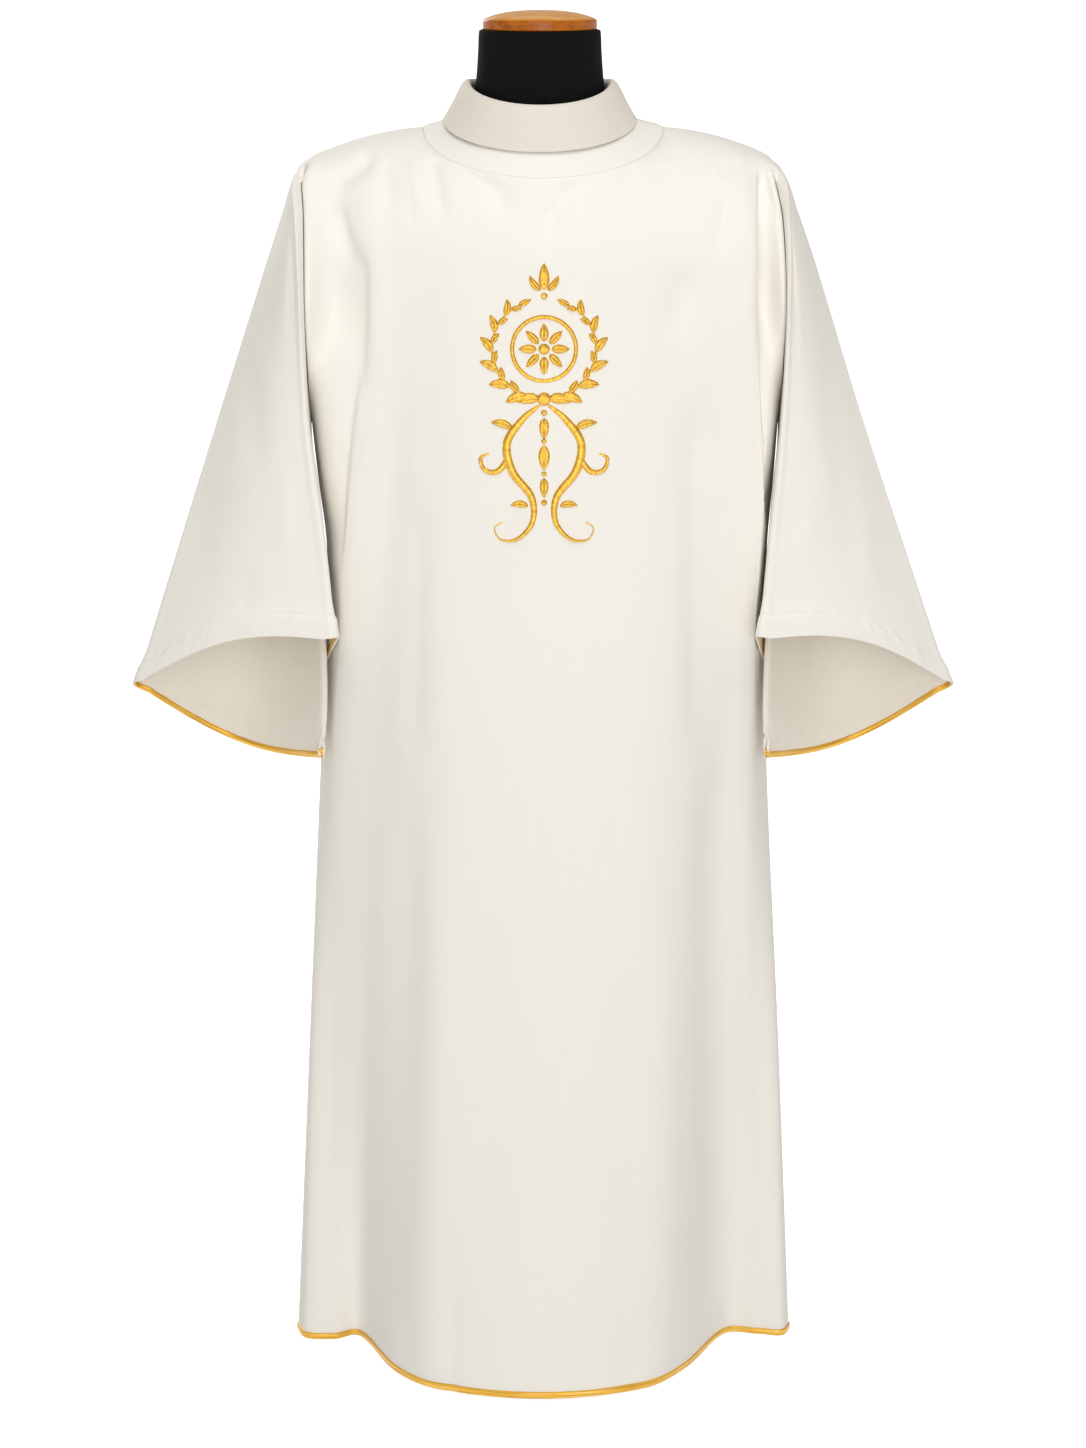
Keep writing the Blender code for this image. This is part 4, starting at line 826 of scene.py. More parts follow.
def makePanel(name, node, tables, facing, creaseTable):
    outward = -facing
    rows, columns, marks = panelRows(tables, facing)
    creases = [creasePath(crease) for crease in creaseTable]
    last = len(columns) - 1

    def lift(r, n, point):
        edge = min(columns[n], 2 * garment["half"] - columns[n])
        fromSide = (point - rows[r][0 if n < last / 2 else last]).length
        fromTop = (point - rows[0][n]).length
        height = creaseLift(creases, point.x, point.z) * smoothStep(0.0, panelMesh["creaseSides"], edge)
        height *= smoothStep(0.0, panelMesh["creaseTop"], fromTop)
        return height - seamDip(min(fromSide, fromTop))

    texturePlaces = sheetTexture(rows, columns.index(garment["half"]), panelMesh["drapeRows"])
    shaped = lifted(rows, gridNormals(rows, outward), lift)
    for r, mark in enumerate(marks):
        for side, edge in ((-1, 0), (1, last)):
            sink = armholeSink(side, facing, mark)
            for n in range(len(columns)):
                away = (rows[r][n] - rows[r][edge]).length / garment["panelRoll"]
                if away < 1:
                    shaped[r][n] = shaped[r][n] + sink * (1 - math.sqrt(1 - (1 - away) ** 2))
    piece = addSheet(name, shaped, texturePlaces, outward, (ivoryCloth, insideWarmShadeCloth),
                     garment["clothThickness"])
    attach(piece, "root")
    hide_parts(node)
    hem = texturePlaces[-1][-1][0] - texturePlaces[-1][0][0]
    print(f"{name}: {areaOf(shaped):.3f} square metres, hem {hem:.3f}")
    return piece, shaped, gridNormals(shaped, outward), columns


print("Draping the panels")
frontPiece, frontRows, frontNormals, panelColumns = makePanel(
    "frontPanel", "front", (frontLeft, frontRight), -1, frontCreases)
backPiece, backRows, backNormals, _ = makePanel(
    "backPanel", "back", (backLeft, backRight), 1, backCreases)


# Sleeves.
sleeveCreases = {
    "leftFront": (
        (0.2785, 1.0600, 0.003, 0.2720, 0.9200, 0.0130, -0.0020, 0.050, 0.060),
        (0.2400, 1.1900, 0.001, 0.2480, 1.0500, 0.0080, 0.0010, 0.040, 0.060),
        (0.3200, 0.9500, -0.003, 0.3480, 0.8150, 0.0150, -0.0016, 0.060, 0.050),
        (0.2420, 0.9700, 0.002, 0.2440, 0.8500, 0.0120, 0.0016, 0.060, 0.050),
        (0.2850, 0.8650, 0.001, 0.2900, 0.8050, 0.0090, -0.0010, 0.030, 0.020),
    ),
    "rightFront": (
        (0.2640, 1.0900, 0.003, 0.3031, 0.8300, 0.0150, -0.0022, 0.070, 0.060),
        (0.2330, 1.1500, 0.001, 0.2440, 1.0300, 0.0080, 0.0010, 0.040, 0.060),
        (0.3250, 0.9100, -0.002, 0.3500, 0.8000, 0.0120, -0.0012, 0.050, 0.040),
        (0.2500, 0.9500, 0.002, 0.2560, 0.8400, 0.0130, 0.0016, 0.060, 0.050),
    ),
    "leftBack": (
        (0.2600, 1.1200, 0.002, 0.2820, 0.9200, 0.0140, -0.0020, 0.060, 0.060),
        (0.2900, 1.0300, -0.002, 0.3200, 0.8000, 0.0160, 0.0014, 0.060, 0.060),
        (0.3100, 0.8900, 0.002, 0.3400, 0.7500, 0.0130, -0.0018, 0.050, 0.040),
        (0.2550, 0.8600, 0.002, 0.2700, 0.7000, 0.0120, -0.0014, 0.050, 0.030),
    ),
    "rightBack": (
        (0.2550, 1.1400, 0.002, 0.2740, 0.9600, 0.0130, -0.0018, 0.060, 0.060),
        (0.2850, 1.0000, -0.002, 0.3240, 0.7900, 0.0170, 0.0015, 0.060, 0.060),
        (0.3200, 0.8600, 0.002, 0.3500, 0.7400, 0.0130, -0.0016, 0.050, 0.040),
        (0.2480, 0.8400, 0.002, 0.2560, 0.7000, 0.0110, -0.0016, 0.050, 0.030),
    ),
}
cuffHem = {
    "depth": 0.0215,                # the hem is turned up this far
    "stitchDip": 0.0006,
    "stitchWidth": 0.0013,
    "turnUp": 0.00050,              # the doubled cloth stands this much proud
    "turnUpEdge": (-0.0009, 0.0006),
    "flare": 0.0032,
    "flareReach": 0.040,
    "reach": 0.050,                 # nothing above acts further than this from the cuff's edge
    "puckerSpacing": (0.009, 0.026),
    "puckerStrength": (0.3, 1.0),
    "puckerWidth": (0.0026, 0.0060),
    "puckerSlant": (-0.5, 0.5),
    "puckerHeight": 0.0015,
    "puckerDown": 0.0130,
    "puckerUp": 0.0075,
    "puckerReach": 0.016,
}


def foldAt(name, row):
    rows, widths = zip(*sleeveCut[name])
    return smoothThrough(rows, widths, row)


def sleeveCorners(tables, side, row, hole):
    def value(name):
        return readTable(sleeveColumns, tables[0], name, row)

    def place(names, table, name):
        x, y, z = (readTable(names, table, name + axis, row) for axis in "XYZ")
        return Vector((side * x, y, z))

    half = sleeveCut["foldWidth"] / 2
    belly = Vector((0.0, -value("belly"), value("rise")))
    sag = Vector((0.0, value("sag"), -value("drop")))
    outerHalf, innerHalf = foldAt("outerFolds", row) / 2, foldAt("innerFolds", row) / 2
    opened = max(2 * outerHalf - sleeveCut["foldWidth"], 0.0)
    tilt = sleeveCut["openFoldTilt"] * opened / sleeveCut["openFold"]
    outerFront = Vector((side * value("outX"), -outerHalf, value("outZ") + tilt))
    outerBack = Vector((side * value("outX"), outerHalf, value("outZ") - tilt))
    fold = place(sleeveColumns, tables[0], "fold")
    inner = place(sleeveColumns, tables[0], "in")
    swing = side * math.exp(-((row - sleeveCut["swingRow"]) / sleeveCut["swingReach"]) ** 2)
    inner.x += sleeveCut["innerSwing"] * swing
    if hole:
        seamFront, seamBack = hole
        turn, bend = (seamFront.lerp(fold, share) for share in sleeveCut["sideShares"])
    else:
        turn, bend, seamFront = (place(lowerColumns, tables[1], name) for name in ("turn", "side", "seam"))
        seamFront.x -= sleeveCut["seamSwing"] * swing
        seamBack = seamFront
    toBack = (outerBack - inner + math.pi * sag).normalized()
    across = ((seamBack - inner).normalized() - toBack).normalized()
    innerBack, innerSide = inner - across * innerHalf, inner + across * innerHalf
    toTurn = (turn - seamFront).normalized()
    toInner = (innerSide - seamBack).normalized()
    if hole:
        nearFront, nearBack = seamFront + toTurn * half / 2, seamBack + toInner * half
    else:
        legs, apart = (toTurn + toInner) / 2, (toTurn - toInner).to_2d().normalized().to_3d()
        nearFront = seamFront + (legs + apart) * sleeveCut["pleatWidth"] / 2
        nearBack = seamBack + (legs - apart) * sleeveCut["pleatWidth"] / 2
    corners = [seamFront, nearFront, turn, bend, fold, outerFront, outerBack, innerBack, innerSide, nearBack,
               seamBack]
    radii = (0.0, half, sleeveCut["sideBend"], sleeveCut["sideBend"], sleeveCut["frontFold"], outerHalf,
             outerHalf, innerHalf, innerHalf, half, 0.0)
    bows = [Vector()] * 10
    bows[sleeveCut["outerCorner"] - 1], bows[sleeveCut["outerCorner"] + 1] = belly, sag
    return corners, radii, bows


# Straights, bowed where asked, with a rounded bend at each corner between them.
def roundedPath(corners, radii, bows):
    def bend(i):
        here, most = corners[i], sleeveCut["bendShare"]
        before, after = corners[i - 1] - here, corners[i + 1] - here
        return (here + before.normalized() * min(radii[i], most * before.length),
                here + after.normalized() * min(radii[i], most * after.length))

    points, places, column = [], [], 0.0
    lastRun = len(corners) - 2
    for run in range(lastRun + 1):
        start = bend(run)[1] if run else corners[0]
        end = bend(run + 1)[0] if run < lastRun else corners[-1]
        steps, width = sleeveCut["runSteps"][run], sleeveCut["runColumns"][run]
        for k in range(steps + 1):
            share = k / steps
            points.append(start.lerp(end, share) + bows[run] * math.sin(math.pi * share))
            places.append(column + width * share)
        column += width
        if run < lastRun:
            corner = corners[run + 1]
            turnStart, turnEnd = bend(run + 1)
            steps, width = sleeveCut["bendSteps"][run + 1], sleeveCut["bendColumns"][run + 1]
            for k in range(1, steps):
                share = k / steps
                points.append(turnStart.lerp(corner, share).lerp(corner.lerp(turnEnd, share), share))
                places.append(column + width * share)
            column += width
    return points, places


# For a place round the sleeve: the half that it is on, that half's edge, and its row of the armhole.
def armholeAbove(place, outer, end, last):
    if place <= outer:
        return -1, 0, sleeveCut["armholeRow"] * (1 - place / outer)
    return 1, last, sleeveCut["armholeRow"] * (place - outer) / (end - outer)


def sleeveRows(tables, side):
    count, shift, underarm = sleeveCut["rows"], sleeveCut["rowShift"], sleeveCut["underarmRow"]
    beside, guides = sleeveCut["armholeRow"], []
    for row in range(1, count + 1):
        hole = [armholePoint(side, facing, row + beside) for facing in (-1, 1)] if row <= underarm else None
        points, places = roundedPath(*sleeveCorners(tables, side, row, hole))
        guides.append(points)
    corner = sleeveCut["outerCorner"]
    outer = sum(sleeveCut["runColumns"][:corner]) + sum(sleeveCut["bendColumns"][:corner + 1]) + 1
    last = len(places) - 1
    top = []
    for place in places:
        facing, _, topRow = armholeAbove(place, outer, places[-1], last)
        top.append(armholePoint(side, facing, topRow))
    guides.insert(0, top)
    knots = [0.0] + [row - shift for row in range(1, count + 1)]
    marks = [n / sleeveCut["topSteps"] for n in range(sleeveCut["topSteps"])]
    marks += [1 + n / sleeveCut["rowSteps"] for n in range(sleeveCut["rowSteps"] * (count - 2))]
    marks += [count - 1 + n / sleeveCut["cuffSteps"] for n in range(sleeveCut["cuffSteps"] + 1)]
    reach = sleeveCut["edgeReach"]
    rows = []
    for mark in marks:
        at = mark * (1 - shift) if mark < 1 else mark - shift
        row = [smoothThrough(knots, [guide[n] for guide in guides], at) for n in range(len(places))]
        if 0 < mark <= underarm:
            for facing, edge in ((-1, 0), (1, last)):
                offset = armholePoint(side, facing, mark + beside) - row[edge]
                for n, place in enumerate(places):
                    away = abs(place - places[edge])
                    if away < reach:
                        row[n] = row[n] + offset * (1 - away / reach) ** 2
        rows.append(row)
    return rows, places, marks, outer


def makeSleeve(name, node, tables, side, seed):
    chance = random.Random(seed)
    rows, places, marks, outer = sleeveRows(tables, side)
    texture = sheetTexture(rows, min(range(len(places)), key=lambda n: abs(places[n] - outer)), 0)
    label = "left" if side < 0 else "right"
    frontFolds = [creasePath(crease) for crease in sleeveCreases[label + "Front"]]
    backFolds = [creasePath(crease) for crease in sleeveCreases[label + "Back"]]
    puckers, place = [], texture[-1][0][0]
    while place < texture[-1][-1][0]:
        place += chance.uniform(*cuffHem["puckerSpacing"])
        puckers.append((place, *[chance.uniform(*cuffHem["pucker" + kind]) for kind in
                                 ("Strength", "Width", "Slant")]))
    corner = sleeveCut["outerCorner"]
    foldMargin, outerMargin = sleeveCut["creaseMargins"]
    frontFold = sum(sleeveCut["runColumns"][:corner - 1]) + sum(sleeveCut["bendColumns"][:corner])
    frontStart, frontEnd, backStart = frontFold + foldMargin, outer - outerMargin, outer + outerMargin
    last = len(places) - 1

    def cuffLift(around, fromCuff):
        past = fromCuff - cuffHem["depth"]
        height = cuffHem["flare"] * (1 - smoothStep(0.0, cuffHem["flareReach"], fromCuff))
        height += cuffHem["turnUp"] * (1 - smoothStep(*cuffHem["turnUpEdge"], past))
        height -= cuffHem["stitchDip"] * math.exp(-(past / cuffHem["stitchWidth"]) ** 2)
        reach = cuffHem["puckerDown"] if past < 0 else cuffHem["puckerUp"]
        for centre, strength, width, slant in puckers:
            off = around - centre - slant * past
            if abs(off) < cuffHem["puckerReach"]:
                height += (cuffHem["puckerHeight"] * strength * math.exp(-(off / width) ** 2)
                           * math.exp(-(past / reach) ** 2))
        return height

    def lift(r, n, point):
        height = 0.0
        if frontStart < places[n] < frontEnd:
            inside = min(places[n] - frontStart, frontEnd - places[n])
            growth = smoothStep(0.0, sleeveCut["creaseGrowth"], inside)
            height = creaseLift(frontFolds, abs(point.x), point.z) * growth
        elif places[n] > backStart:
            growth = smoothStep(0.0, sleeveCut["creaseGrowth"], places[n] - backStart)
            height = creaseLift(backFolds, abs(point.x), point.z) * growth
        height *= smoothStep(0.0, sleeveCut["creaseTop"], marks[r])
        around, down = texture[r][n]
        fromCuff = down - texture[-1][n][1]
        if fromCuff < cuffHem["reach"]:
            height += cuffLift(around, fromCuff)
        nearest = (point - rows[0][n]).length
        if marks[r] < sleeveCut["underarmRow"] + 1:
            nearest = min(nearest, (point - rows[r][0]).length, (point - rows[r][last]).length)
        return height - seamDip(nearest)

    shaped = lifted(rows, gridNormals(rows, side), lift)
    for r, mark in enumerate(marks):
        for n, place in enumerate(places):
            facing, edge, topRow = armholeAbove(place, outer, places[-1], last)
            fromTop = max(1 - (rows[r][n] - rows[0][n]).length / garment["sleeveRoll"], 0.0) ** 2
            fromSide = max(1 - (rows[r][n] - rows[r][edge]).length / garment["sleeveRoll"], 0.0) ** 2
            if mark > sleeveCut["underarmRow"] - 1 or fromTop + fromSide == 0:
                continue
            sink = armholeSink(side, facing, topRow, fromTop ** 2)
            sink += armholeSink(side, facing, mark + sleeveCut["armholeRow"], fromSide ** 2)
            shaped[r][n] = shaped[r][n] + sink / (fromTop + fromSide)
    piece = addSheet(name, shaped, texture, side, (ivoryCloth, insideWarmShadeCloth), garment["clothThickness"])
    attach(piece, "root")
    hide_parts(node)
    cuff = texture[-1][-1][0] - texture[-1][0][0]
    print(f"{name}: {areaOf(shaped):.3f} square metres, cuff {cuff:.3f}")
    return piece, shaped, gridNormals(shaped, side)


print("Hanging the sleeves")
leftSleeve, leftRows, leftNormals = makeSleeve(
    "sleeveLeftCloth", "sleeve_left", (sleeveLeftRows, lowerLeftRows), -1, 11)
rightSleeve, rightRows, rightNormals = makeSleeve(
    "sleeveRightCloth", "sleeve_right", (sleeveRightRows, lowerRightRows), 1, 12)


# Neck band and collar: rings round the neck.
neckPlace = {"x": -0.003}
ringColumns = ("halfWidth", "front", "back", "sideZ", "frontZ", "backZ")
bandFoot = (0.0740, 0.0735, 0.0680, 1.2820, 1.2600, 1.2900)
collarRings = (
    (0.0740, 0.0735, 0.0680, 1.2825, 1.2605, 1.2905),
    (0.0690, 0.0705, 0.0660, 1.2985, 1.2790, 1.3010),
    (0.0655, 0.0690, 0.0645, 1.3105, 1.2905, 1.3080),
    (0.0664, 0.0698, 0.0655, 1.3145, 1.2945, 1.3115),
    (0.0694, 0.0728, 0.0689, 1.3160, 1.2960, 1.3130),
    (0.0748, 0.0762, 0.0730, 1.3110, 1.2915, 1.3085),
    (0.0838, 0.0793, 0.0785, 1.2940, 1.2715, 1.2950),
    (0.0925, 0.0820, 0.0835, 1.2790, 1.2530, 1.2828),
)
neckCut = {
    "around": 196,
    "bandRows": 12,
    "bandCrowding": 1.5,            # the rows crowd towards the seam
    "bandSag": 0.0006,
    "bandLift": 0.0003,
    "allowance": ((0.0010, 0.0012), (0.0040, 0.0024)),   # how far and how deep it runs on under the panels
    "collarRows": 7,                # between two rings
    "collarThickness": 0.0021,
    "fallStart": 0.55,              # share of the collar's rows from which its fall waves
    "waves": ((0.35, 0.16, 0.0009), (1.05, 0.20, -0.0007), (1.90, 0.22, 0.0008), (2.60, 0.15, -0.0008),
              (3.70, 0.25, 0.0009), (4.60, 0.22, -0.0008), (5.60, 0.20, 0.0007)),   # angle, width, height
    "edgeLines": ((0.0022, 0.0016, 0.0003), (0.0052, 0.0009, -0.0004)),   # from the edge, width, height
}


def neckRing(sizes, angle):
    size = dict(zip(ringColumns, sizes))
    sine = math.sin(angle)
    end = "front" if sine > 0 else "back"
    return Vector((neckPlace["x"] - size["halfWidth"] * math.cos(angle), -size[end] * sine,
                   size["sideZ"] + (size[end + "Z"] - size["sideZ"]) * abs(sine)))


# Rows of points round the neck, some between each ring of a table and the next.
def rowsThroughRings(rings, between, around):
    knots = [0.0]
    for before, after in zip(rings, rings[1:]):
        knots.append(knots[-1] + math.hypot(after[0] - before[0], after[3] - before[3]))
    rows = []
    for span in range(len(rings) - 1):
        for k in range(between + (1 if span == len(rings) - 2 else 0)):
            at = knots[span] + (knots[span + 1] - knots[span]) * k / between
            sizes = [smoothThrough(knots, column, at) for column in zip(*rings)]
            rows.append([neckRing(sizes, 2 * math.pi * j / around) for j in range(around + 1)])
    return rows


def ringTexture(rows):
    places, down = [], 0.0
    for r, row in enumerate(rows):
        if r:
            down -= sum((a - b).length for a, b in zip(row, rows[r - 1])) / len(row)
        around, line = 0.0, []
        for n, point in enumerate(row):
            if n:
                around += (point - row[n - 1]).length
            line.append((around, down))
        places.append(line)
    return places


def makeNeckBand():
    around = neckCut["around"]
    angles = [2 * math.pi * j / around for j in range(around + 1)]
    seams = [neckSeam(angle, -1) if math.sin(angle) >= 0 else neckSeam(-angle, 1) for angle in angles]
    rows = []
    for k in range(neckCut["bandRows"] + 1):
        share = 1 - (1 - k / neckCut["bandRows"]) ** neckCut["bandCrowding"]
        sag = Vector((0, 0, -neckCut["bandSag"] * math.sin(math.pi * share)))
        rows.append([neckRing(bandFoot, angle).lerp(seam, share) + sag for angle, seam in zip(angles, seams)])

    def lift(r, n, point):
        fromSeam = (point - rows[-1][n]).length / garment["seamWidth"]
        return neckCut["bandLift"] - (garment["seamDip"] + neckCut["bandLift"]) * math.exp(-fromSeam ** 2)

    shaped = lifted(rows, gridNormals(rows, 1, closed=True), lift)
    for reach, below in neckCut["allowance"]:
        row = []
        for angle, seam in zip(angles, seams):
            ahead = math.sin(angle) >= 0
            panel, over = (frontRows, frontNormals) if ahead else (backRows, backNormals)
            share = (angle if ahead else 2 * math.pi - angle) / math.pi
            place = garment["shoulderColumns"] + share * 2 * garment["neckColumns"]
            n = min(range(len(panelColumns)), key=lambda k: abs(panelColumns[k] - place))
            down = (panel[3][n] - panel[0][n]).normalized()
            row.append(seam + down * reach - over[1][n] * below)
        shaped.append(row)
    piece = addSheet("neckBandCloth", shaped, ringTexture(shaped), 1, (ivoryCloth,),
                     garment["clothThickness"], closed=True)
    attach(piece, "root")
    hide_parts("neck_band")
    print(f"neck band: {areaOf(shaped):.4f} square metres")
    return piece, shaped, gridNormals(shaped, 1, closed=True)


def makeCollar():
    around = neckCut["around"]
    rows = rowsThroughRings(collarRings, neckCut["collarRows"], around)
    last = len(rows) - 1

    def lift(r, n, point):
        angle = 2 * math.pi * (n % around) / around
        fall = smoothStep(neckCut["fallStart"], 1.0, r / last)
        height = 0.0
        for centre, width, size in neckCut["waves"]:
            height += size * math.exp(-((angle - centre) / width) ** 2) * fall
        fromEdge = (point - rows[last][n]).length
        for place, width, size in neckCut["edgeLines"]:
            height += size * math.exp(-((fromEdge - place) / width) ** 2)
        return height

    shaped = lifted(rows, gridNormals(rows, 1, closed=True), lift)
    # The collar wears the darker copy of the cloth, its painted shade.
    piece = addSheet("collarCloth", shaped, ringTexture(rows), 1, (collarShadeCloth,), neckCut["collarThickness"],
                     closed=True, edgeRound=0.0008)
    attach(piece, "root")
    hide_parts("collar")
    print(f"collar: {areaOf(shaped):.4f} square metres")
    return piece


print("Setting the neck band and the collar")
neckBandPiece, bandRows, bandNormals = makeNeckBand()
collarPiece = makeCollar()


# Gold ribbon on the hem and inside the cuffs, with its edge stitches. A point of a section is its way up from
# the cloth's edge and its height above the cloth.
ribbon = {
    "hemSection": ((-0.0007, -0.0008), (-0.0009, 0.0002), (-0.0004, 0.0010), (0.0010, 0.0013),
                   (0.0032, 0.0014), (0.0052, 0.0012), (0.0061, 0.0008), (0.0064, 0.0001)),
    "cuffSection": ((0.0003, 0.0001), (0.0005, 0.0009), (0.0012, 0.0013), (0.0034, 0.0014), (0.0054, 0.0012),
                    (0.0062, 0.0008), (0.0065, 0.0001)),
}
stitches = {
    "ribbon": {"place": 0.0056, "height": 0.0012, "pitch": 0.0034, "length": 0.0021, "radius": 0.00024},
    "neckSeam": {"place": -0.0002, "height": 0.0001, "pitch": 0.0030, "length": 0.0028, "radius": 0.00036},
    "sides": 5,
    "rings": ((-0.5, 0.35, 1.3), (-0.3, 1.0, 0.2), (0.3, 1.0, 0.2), (0.5, 0.35, 1.3)),   # place, size, sink
}


def addShell(name, points, faces, texturePlaces, material):
    piece = addMesh(name, points, faces, texturePlaces, (material,))
    bpy.ops.object.mode_set(mode="EDIT")
    bpy.ops.mesh.select_all(action="SELECT")
    bpy.ops.mesh.normals_make_consistent(inside=False)
    bpy.ops.object.mode_set(mode="OBJECT")
    bpy.ops.object.shade_smooth_by_angle(angle=math.radians(60))
    piece.select_set(False)
    return piece


# Faces between rings of points that follow each other.
def tubeFaces(rings, around, base=0, closed=False):
    faces = []
    for n in range(rings if closed else rings - 1):
        here, there = base + n * around, base + (n + 1) % rings * around
        for k in range(around):
            j = (k + 1) % around
            faces.append([here + k, here + j, there + j, there + k])
    return faces


def makeRibbon(name, edge, node, section):
    around = len(section)
    points = [point + up * place + normal * height for point, up, normal in edge for place, height in section]
    along = lengthsAlong([point for point, _, _ in edge + edge[:1]])
    uvs = [(along[n + step], section[k % around][0]) for n in range(len(edge)) for start in range(around)
           for step, k in ((0, start), (0, start + 1), (1, start + 1), (1, start))]
    piece = addShell(name, points, tubeFaces(len(edge), around, closed=True), uvs, ribbonSatin)
    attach(piece, "root")
    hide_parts(node)
    return piece


def stitchRow(name, edge, stitch, material):
    line = [(point + up * stitch["place"] + normal * stitch["height"], normal) for point, up, normal in edge]
    marks = lengthsAlong([point for point, _ in line + line[:1]])
    count, sides, radius = int(marks[-1] / stitch["pitch"]), stitches["sides"], stitch["radius"]
    points, faces = [], []
    segment = 0
    for n in range(count):
        at = marks[-1] * (n + 0.5) / count
        while marks[segment + 1] < at:
            segment += 1
        a, normal = line[segment % len(line)]
        b = line[(segment + 1) % len(line)][0]
        share = (at - marks[segment]) / max(marks[segment + 1] - marks[segment], 1e-9)
        centre = a.lerp(b, share)
        forward = (b - a).normalized()
        sideways = normal.cross(forward).normalized()
        rise = forward.cross(sideways)
        if rise.dot(normal) < 0:
            rise = -rise
        base = len(points)
        for end, size, sink in stitches["rings"]:
            for k in range(sides):
                turn = 2 * math.pi * k / sides
                points.append(centre + forward * (end * stitch["length"])
                              + (sideways * math.cos(turn) + rise * math.sin(turn)) * radius * size
                              - normal * (radius * sink))
        rings = len(stitches["rings"])
        faces += tubeFaces(rings, sides, base)
        faces.append([base + k for k in range(sides)])
        faces.append([base + (rings - 1) * sides + k for k in reversed(range(sides))])
    uvs = [(points[corner].x, points[corner].z) for face in faces for corner in face]
    piece = addShell(name, points, faces, uvs, material)
    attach(piece, "root")
    return piece


def lowerEdge(rows, normals, columns):
    return [(rows[-1][n], (rows[-3][n] - rows[-1][n]).normalized(), normals[-1][n]) for n in columns]


print("Sewing on the ribbon")
frontLast = len(frontRows[0]) - 1
hemEdge = lowerEdge(frontRows, frontNormals, range(frontLast + 1))
hemEdge += lowerEdge(backRows, backNormals, range(frontLast - 1, 0, -1))
hemRibbon = makeRibbon("hemRibbon", hemEdge, "hem_binding", ribbon["hemSection"])
hemStitches = stitchRow("hemRibbonStitches", hemEdge, stitches["ribbon"], ribbonSatin)
for label, rows, normals in (("Left", leftRows, leftNormals), ("Right", rightRows, rightNormals)):
    outside = lowerEdge(rows, normals, range(len(rows[0]) - 1))
    inside = [(point - normal * garment["clothThickness"], up, -normal) for point, up, normal in outside]
    cuffRibbon = makeRibbon("cuffRibbon" + label, inside, "cuff_binding_" + label.lower(),
                            ribbon["cuffSection"])
    cuffStitches = stitchRow("cuffRibbonStitches" + label, inside, stitches["ribbon"], ribbonSatin)
seamRow = neckCut["bandRows"]
neckEdge = [(bandRows[seamRow][n], (bandRows[seamRow - 1][n] - bandRows[seamRow][n]).normalized(),
             bandNormals[seamRow - 1][n]) for n in range(neckCut["around"])]
# Buff stitches along the neck seam: a painted shade line on real stitching.
stitchRow("neckSeamStitches", neckEdge, stitches["neckSeam"], seamThreadAndShade)


# Embroidery: raised satin stitch on the front. Places are in millimetres from the middle of the design.
embroidery = {
    "middle": (0.001, 1.012),
    "sink": 0.0005,                 # a shape's sides go this deep into the cloth
    "acrossSteps": 10,
    "ridgeWidth": 0.2,              # share of the half width that a leaf's middle groove takes
    "endHeight": 0.25,              # share of the height at a shape's ends
    "endRise": 4,
    "narrowHeight": 0.4,            # and where a shape is narrow
    "fullWidth": 3.0,
    "textureStep": 0.37,            # between the texture places of two shapes, so that their threads differ
}
rosette = {
    "heart": (0.0, 61.0), "disc": 5.4, "ringRadius": 30.0, "ringWidth": 2.1,
    "petals": 8, "petalStart": 7.0, "petalLength": 17.0, "petalWidths": (4.4, 3.8),
}
laurel = {
    "radius": 45.0, "widening": 4.0, "startDegrees": 6, "sweepDegrees": 146, "steps": 60,
    "leafPlaces": (6, 15, 24, 33, 42, 51), "leafLength": 21.0, "leafShortens": 1.1,
    "outerTurn": 0.62, "outerWidth": 4.9, "outerNarrows": 0.25, "outerBend": 1.6,
    "innerTurn": 0.72, "innerWidth": 3.5, "innerNarrows": 0.16, "innerBend": -1.0, "innerLength": 0.64,
    "innerPlace": 4,                # steps that an inner leaf grows after its outer one
}
leafColumns = ("x", "z", "turn", "length", "width", "bend")
pairedLeaves = {
    "bud": (3.0, 116.0, 0.66, 17.0, 3.4, -1.8),
    "tie": (4.5, 14.0, math.pi / 2 * 1.10, 21.0, 5.4, 2.2),
    "upperTail": (30.0, -14.0, 1.32, 21.0, 4.0, 2.0),
    "lowerTail": (15.0, -88.0, 1.55, 17.0, 3.4, 2.0),
}
tails = {
    "tail": ((3.0, 9.0), (20.0, -5.0), (35.0, -28.0), (30.0, -55.0), (12.0, -79.0), (11.0, -103.0),
             (25.0, -119.5), (41.0, -120.5), (47.0, -110.0), (39.5, -103.5)),
    "spur": ((33.0, -42.0), (44.0, -55.0), (56.0, -54.0), (60.0, -43.0), (52.0, -38.0)),
}
drops = ((-4.0, 20.0, 4.8), (-30.0, 24.0, 5.6), (-61.0, 19.0, 4.2))   # top, length, width
# Height and radius of the bud's disc, the tie's disc and the beads between the drops.
discs = ((110.6, 3.2), (14.0, 6.6), (1.0, 2.9), (-26.0, 2.6), (-57.0, 2.5), (-84.5, 2.9))


def onFront(tree, x, z):
    hit = tree.ray_cast(Vector((x, -1.0, z)), Vector((0, 1, 0)))
    normal = hit[1] if hit[1].y < 0 else -hit[1]
    return hit[0], normal


def curvePoints(corners, steps):
    knots = list(range(len(corners)))
    return [Vector([smoothThrough(knots, column, knots[-1] * n / steps) for column in zip(*corners)])
            for n in range(steps + 1)]


def heading(angle):
    return Vector((math.cos(angle), math.sin(angle)))


def satinShape(path, widthAt, height, ridge=0.0, slant=0.0):
    return {"path": path, "width": widthAt, "height": height, "ridge": ridge, "slant": slant}


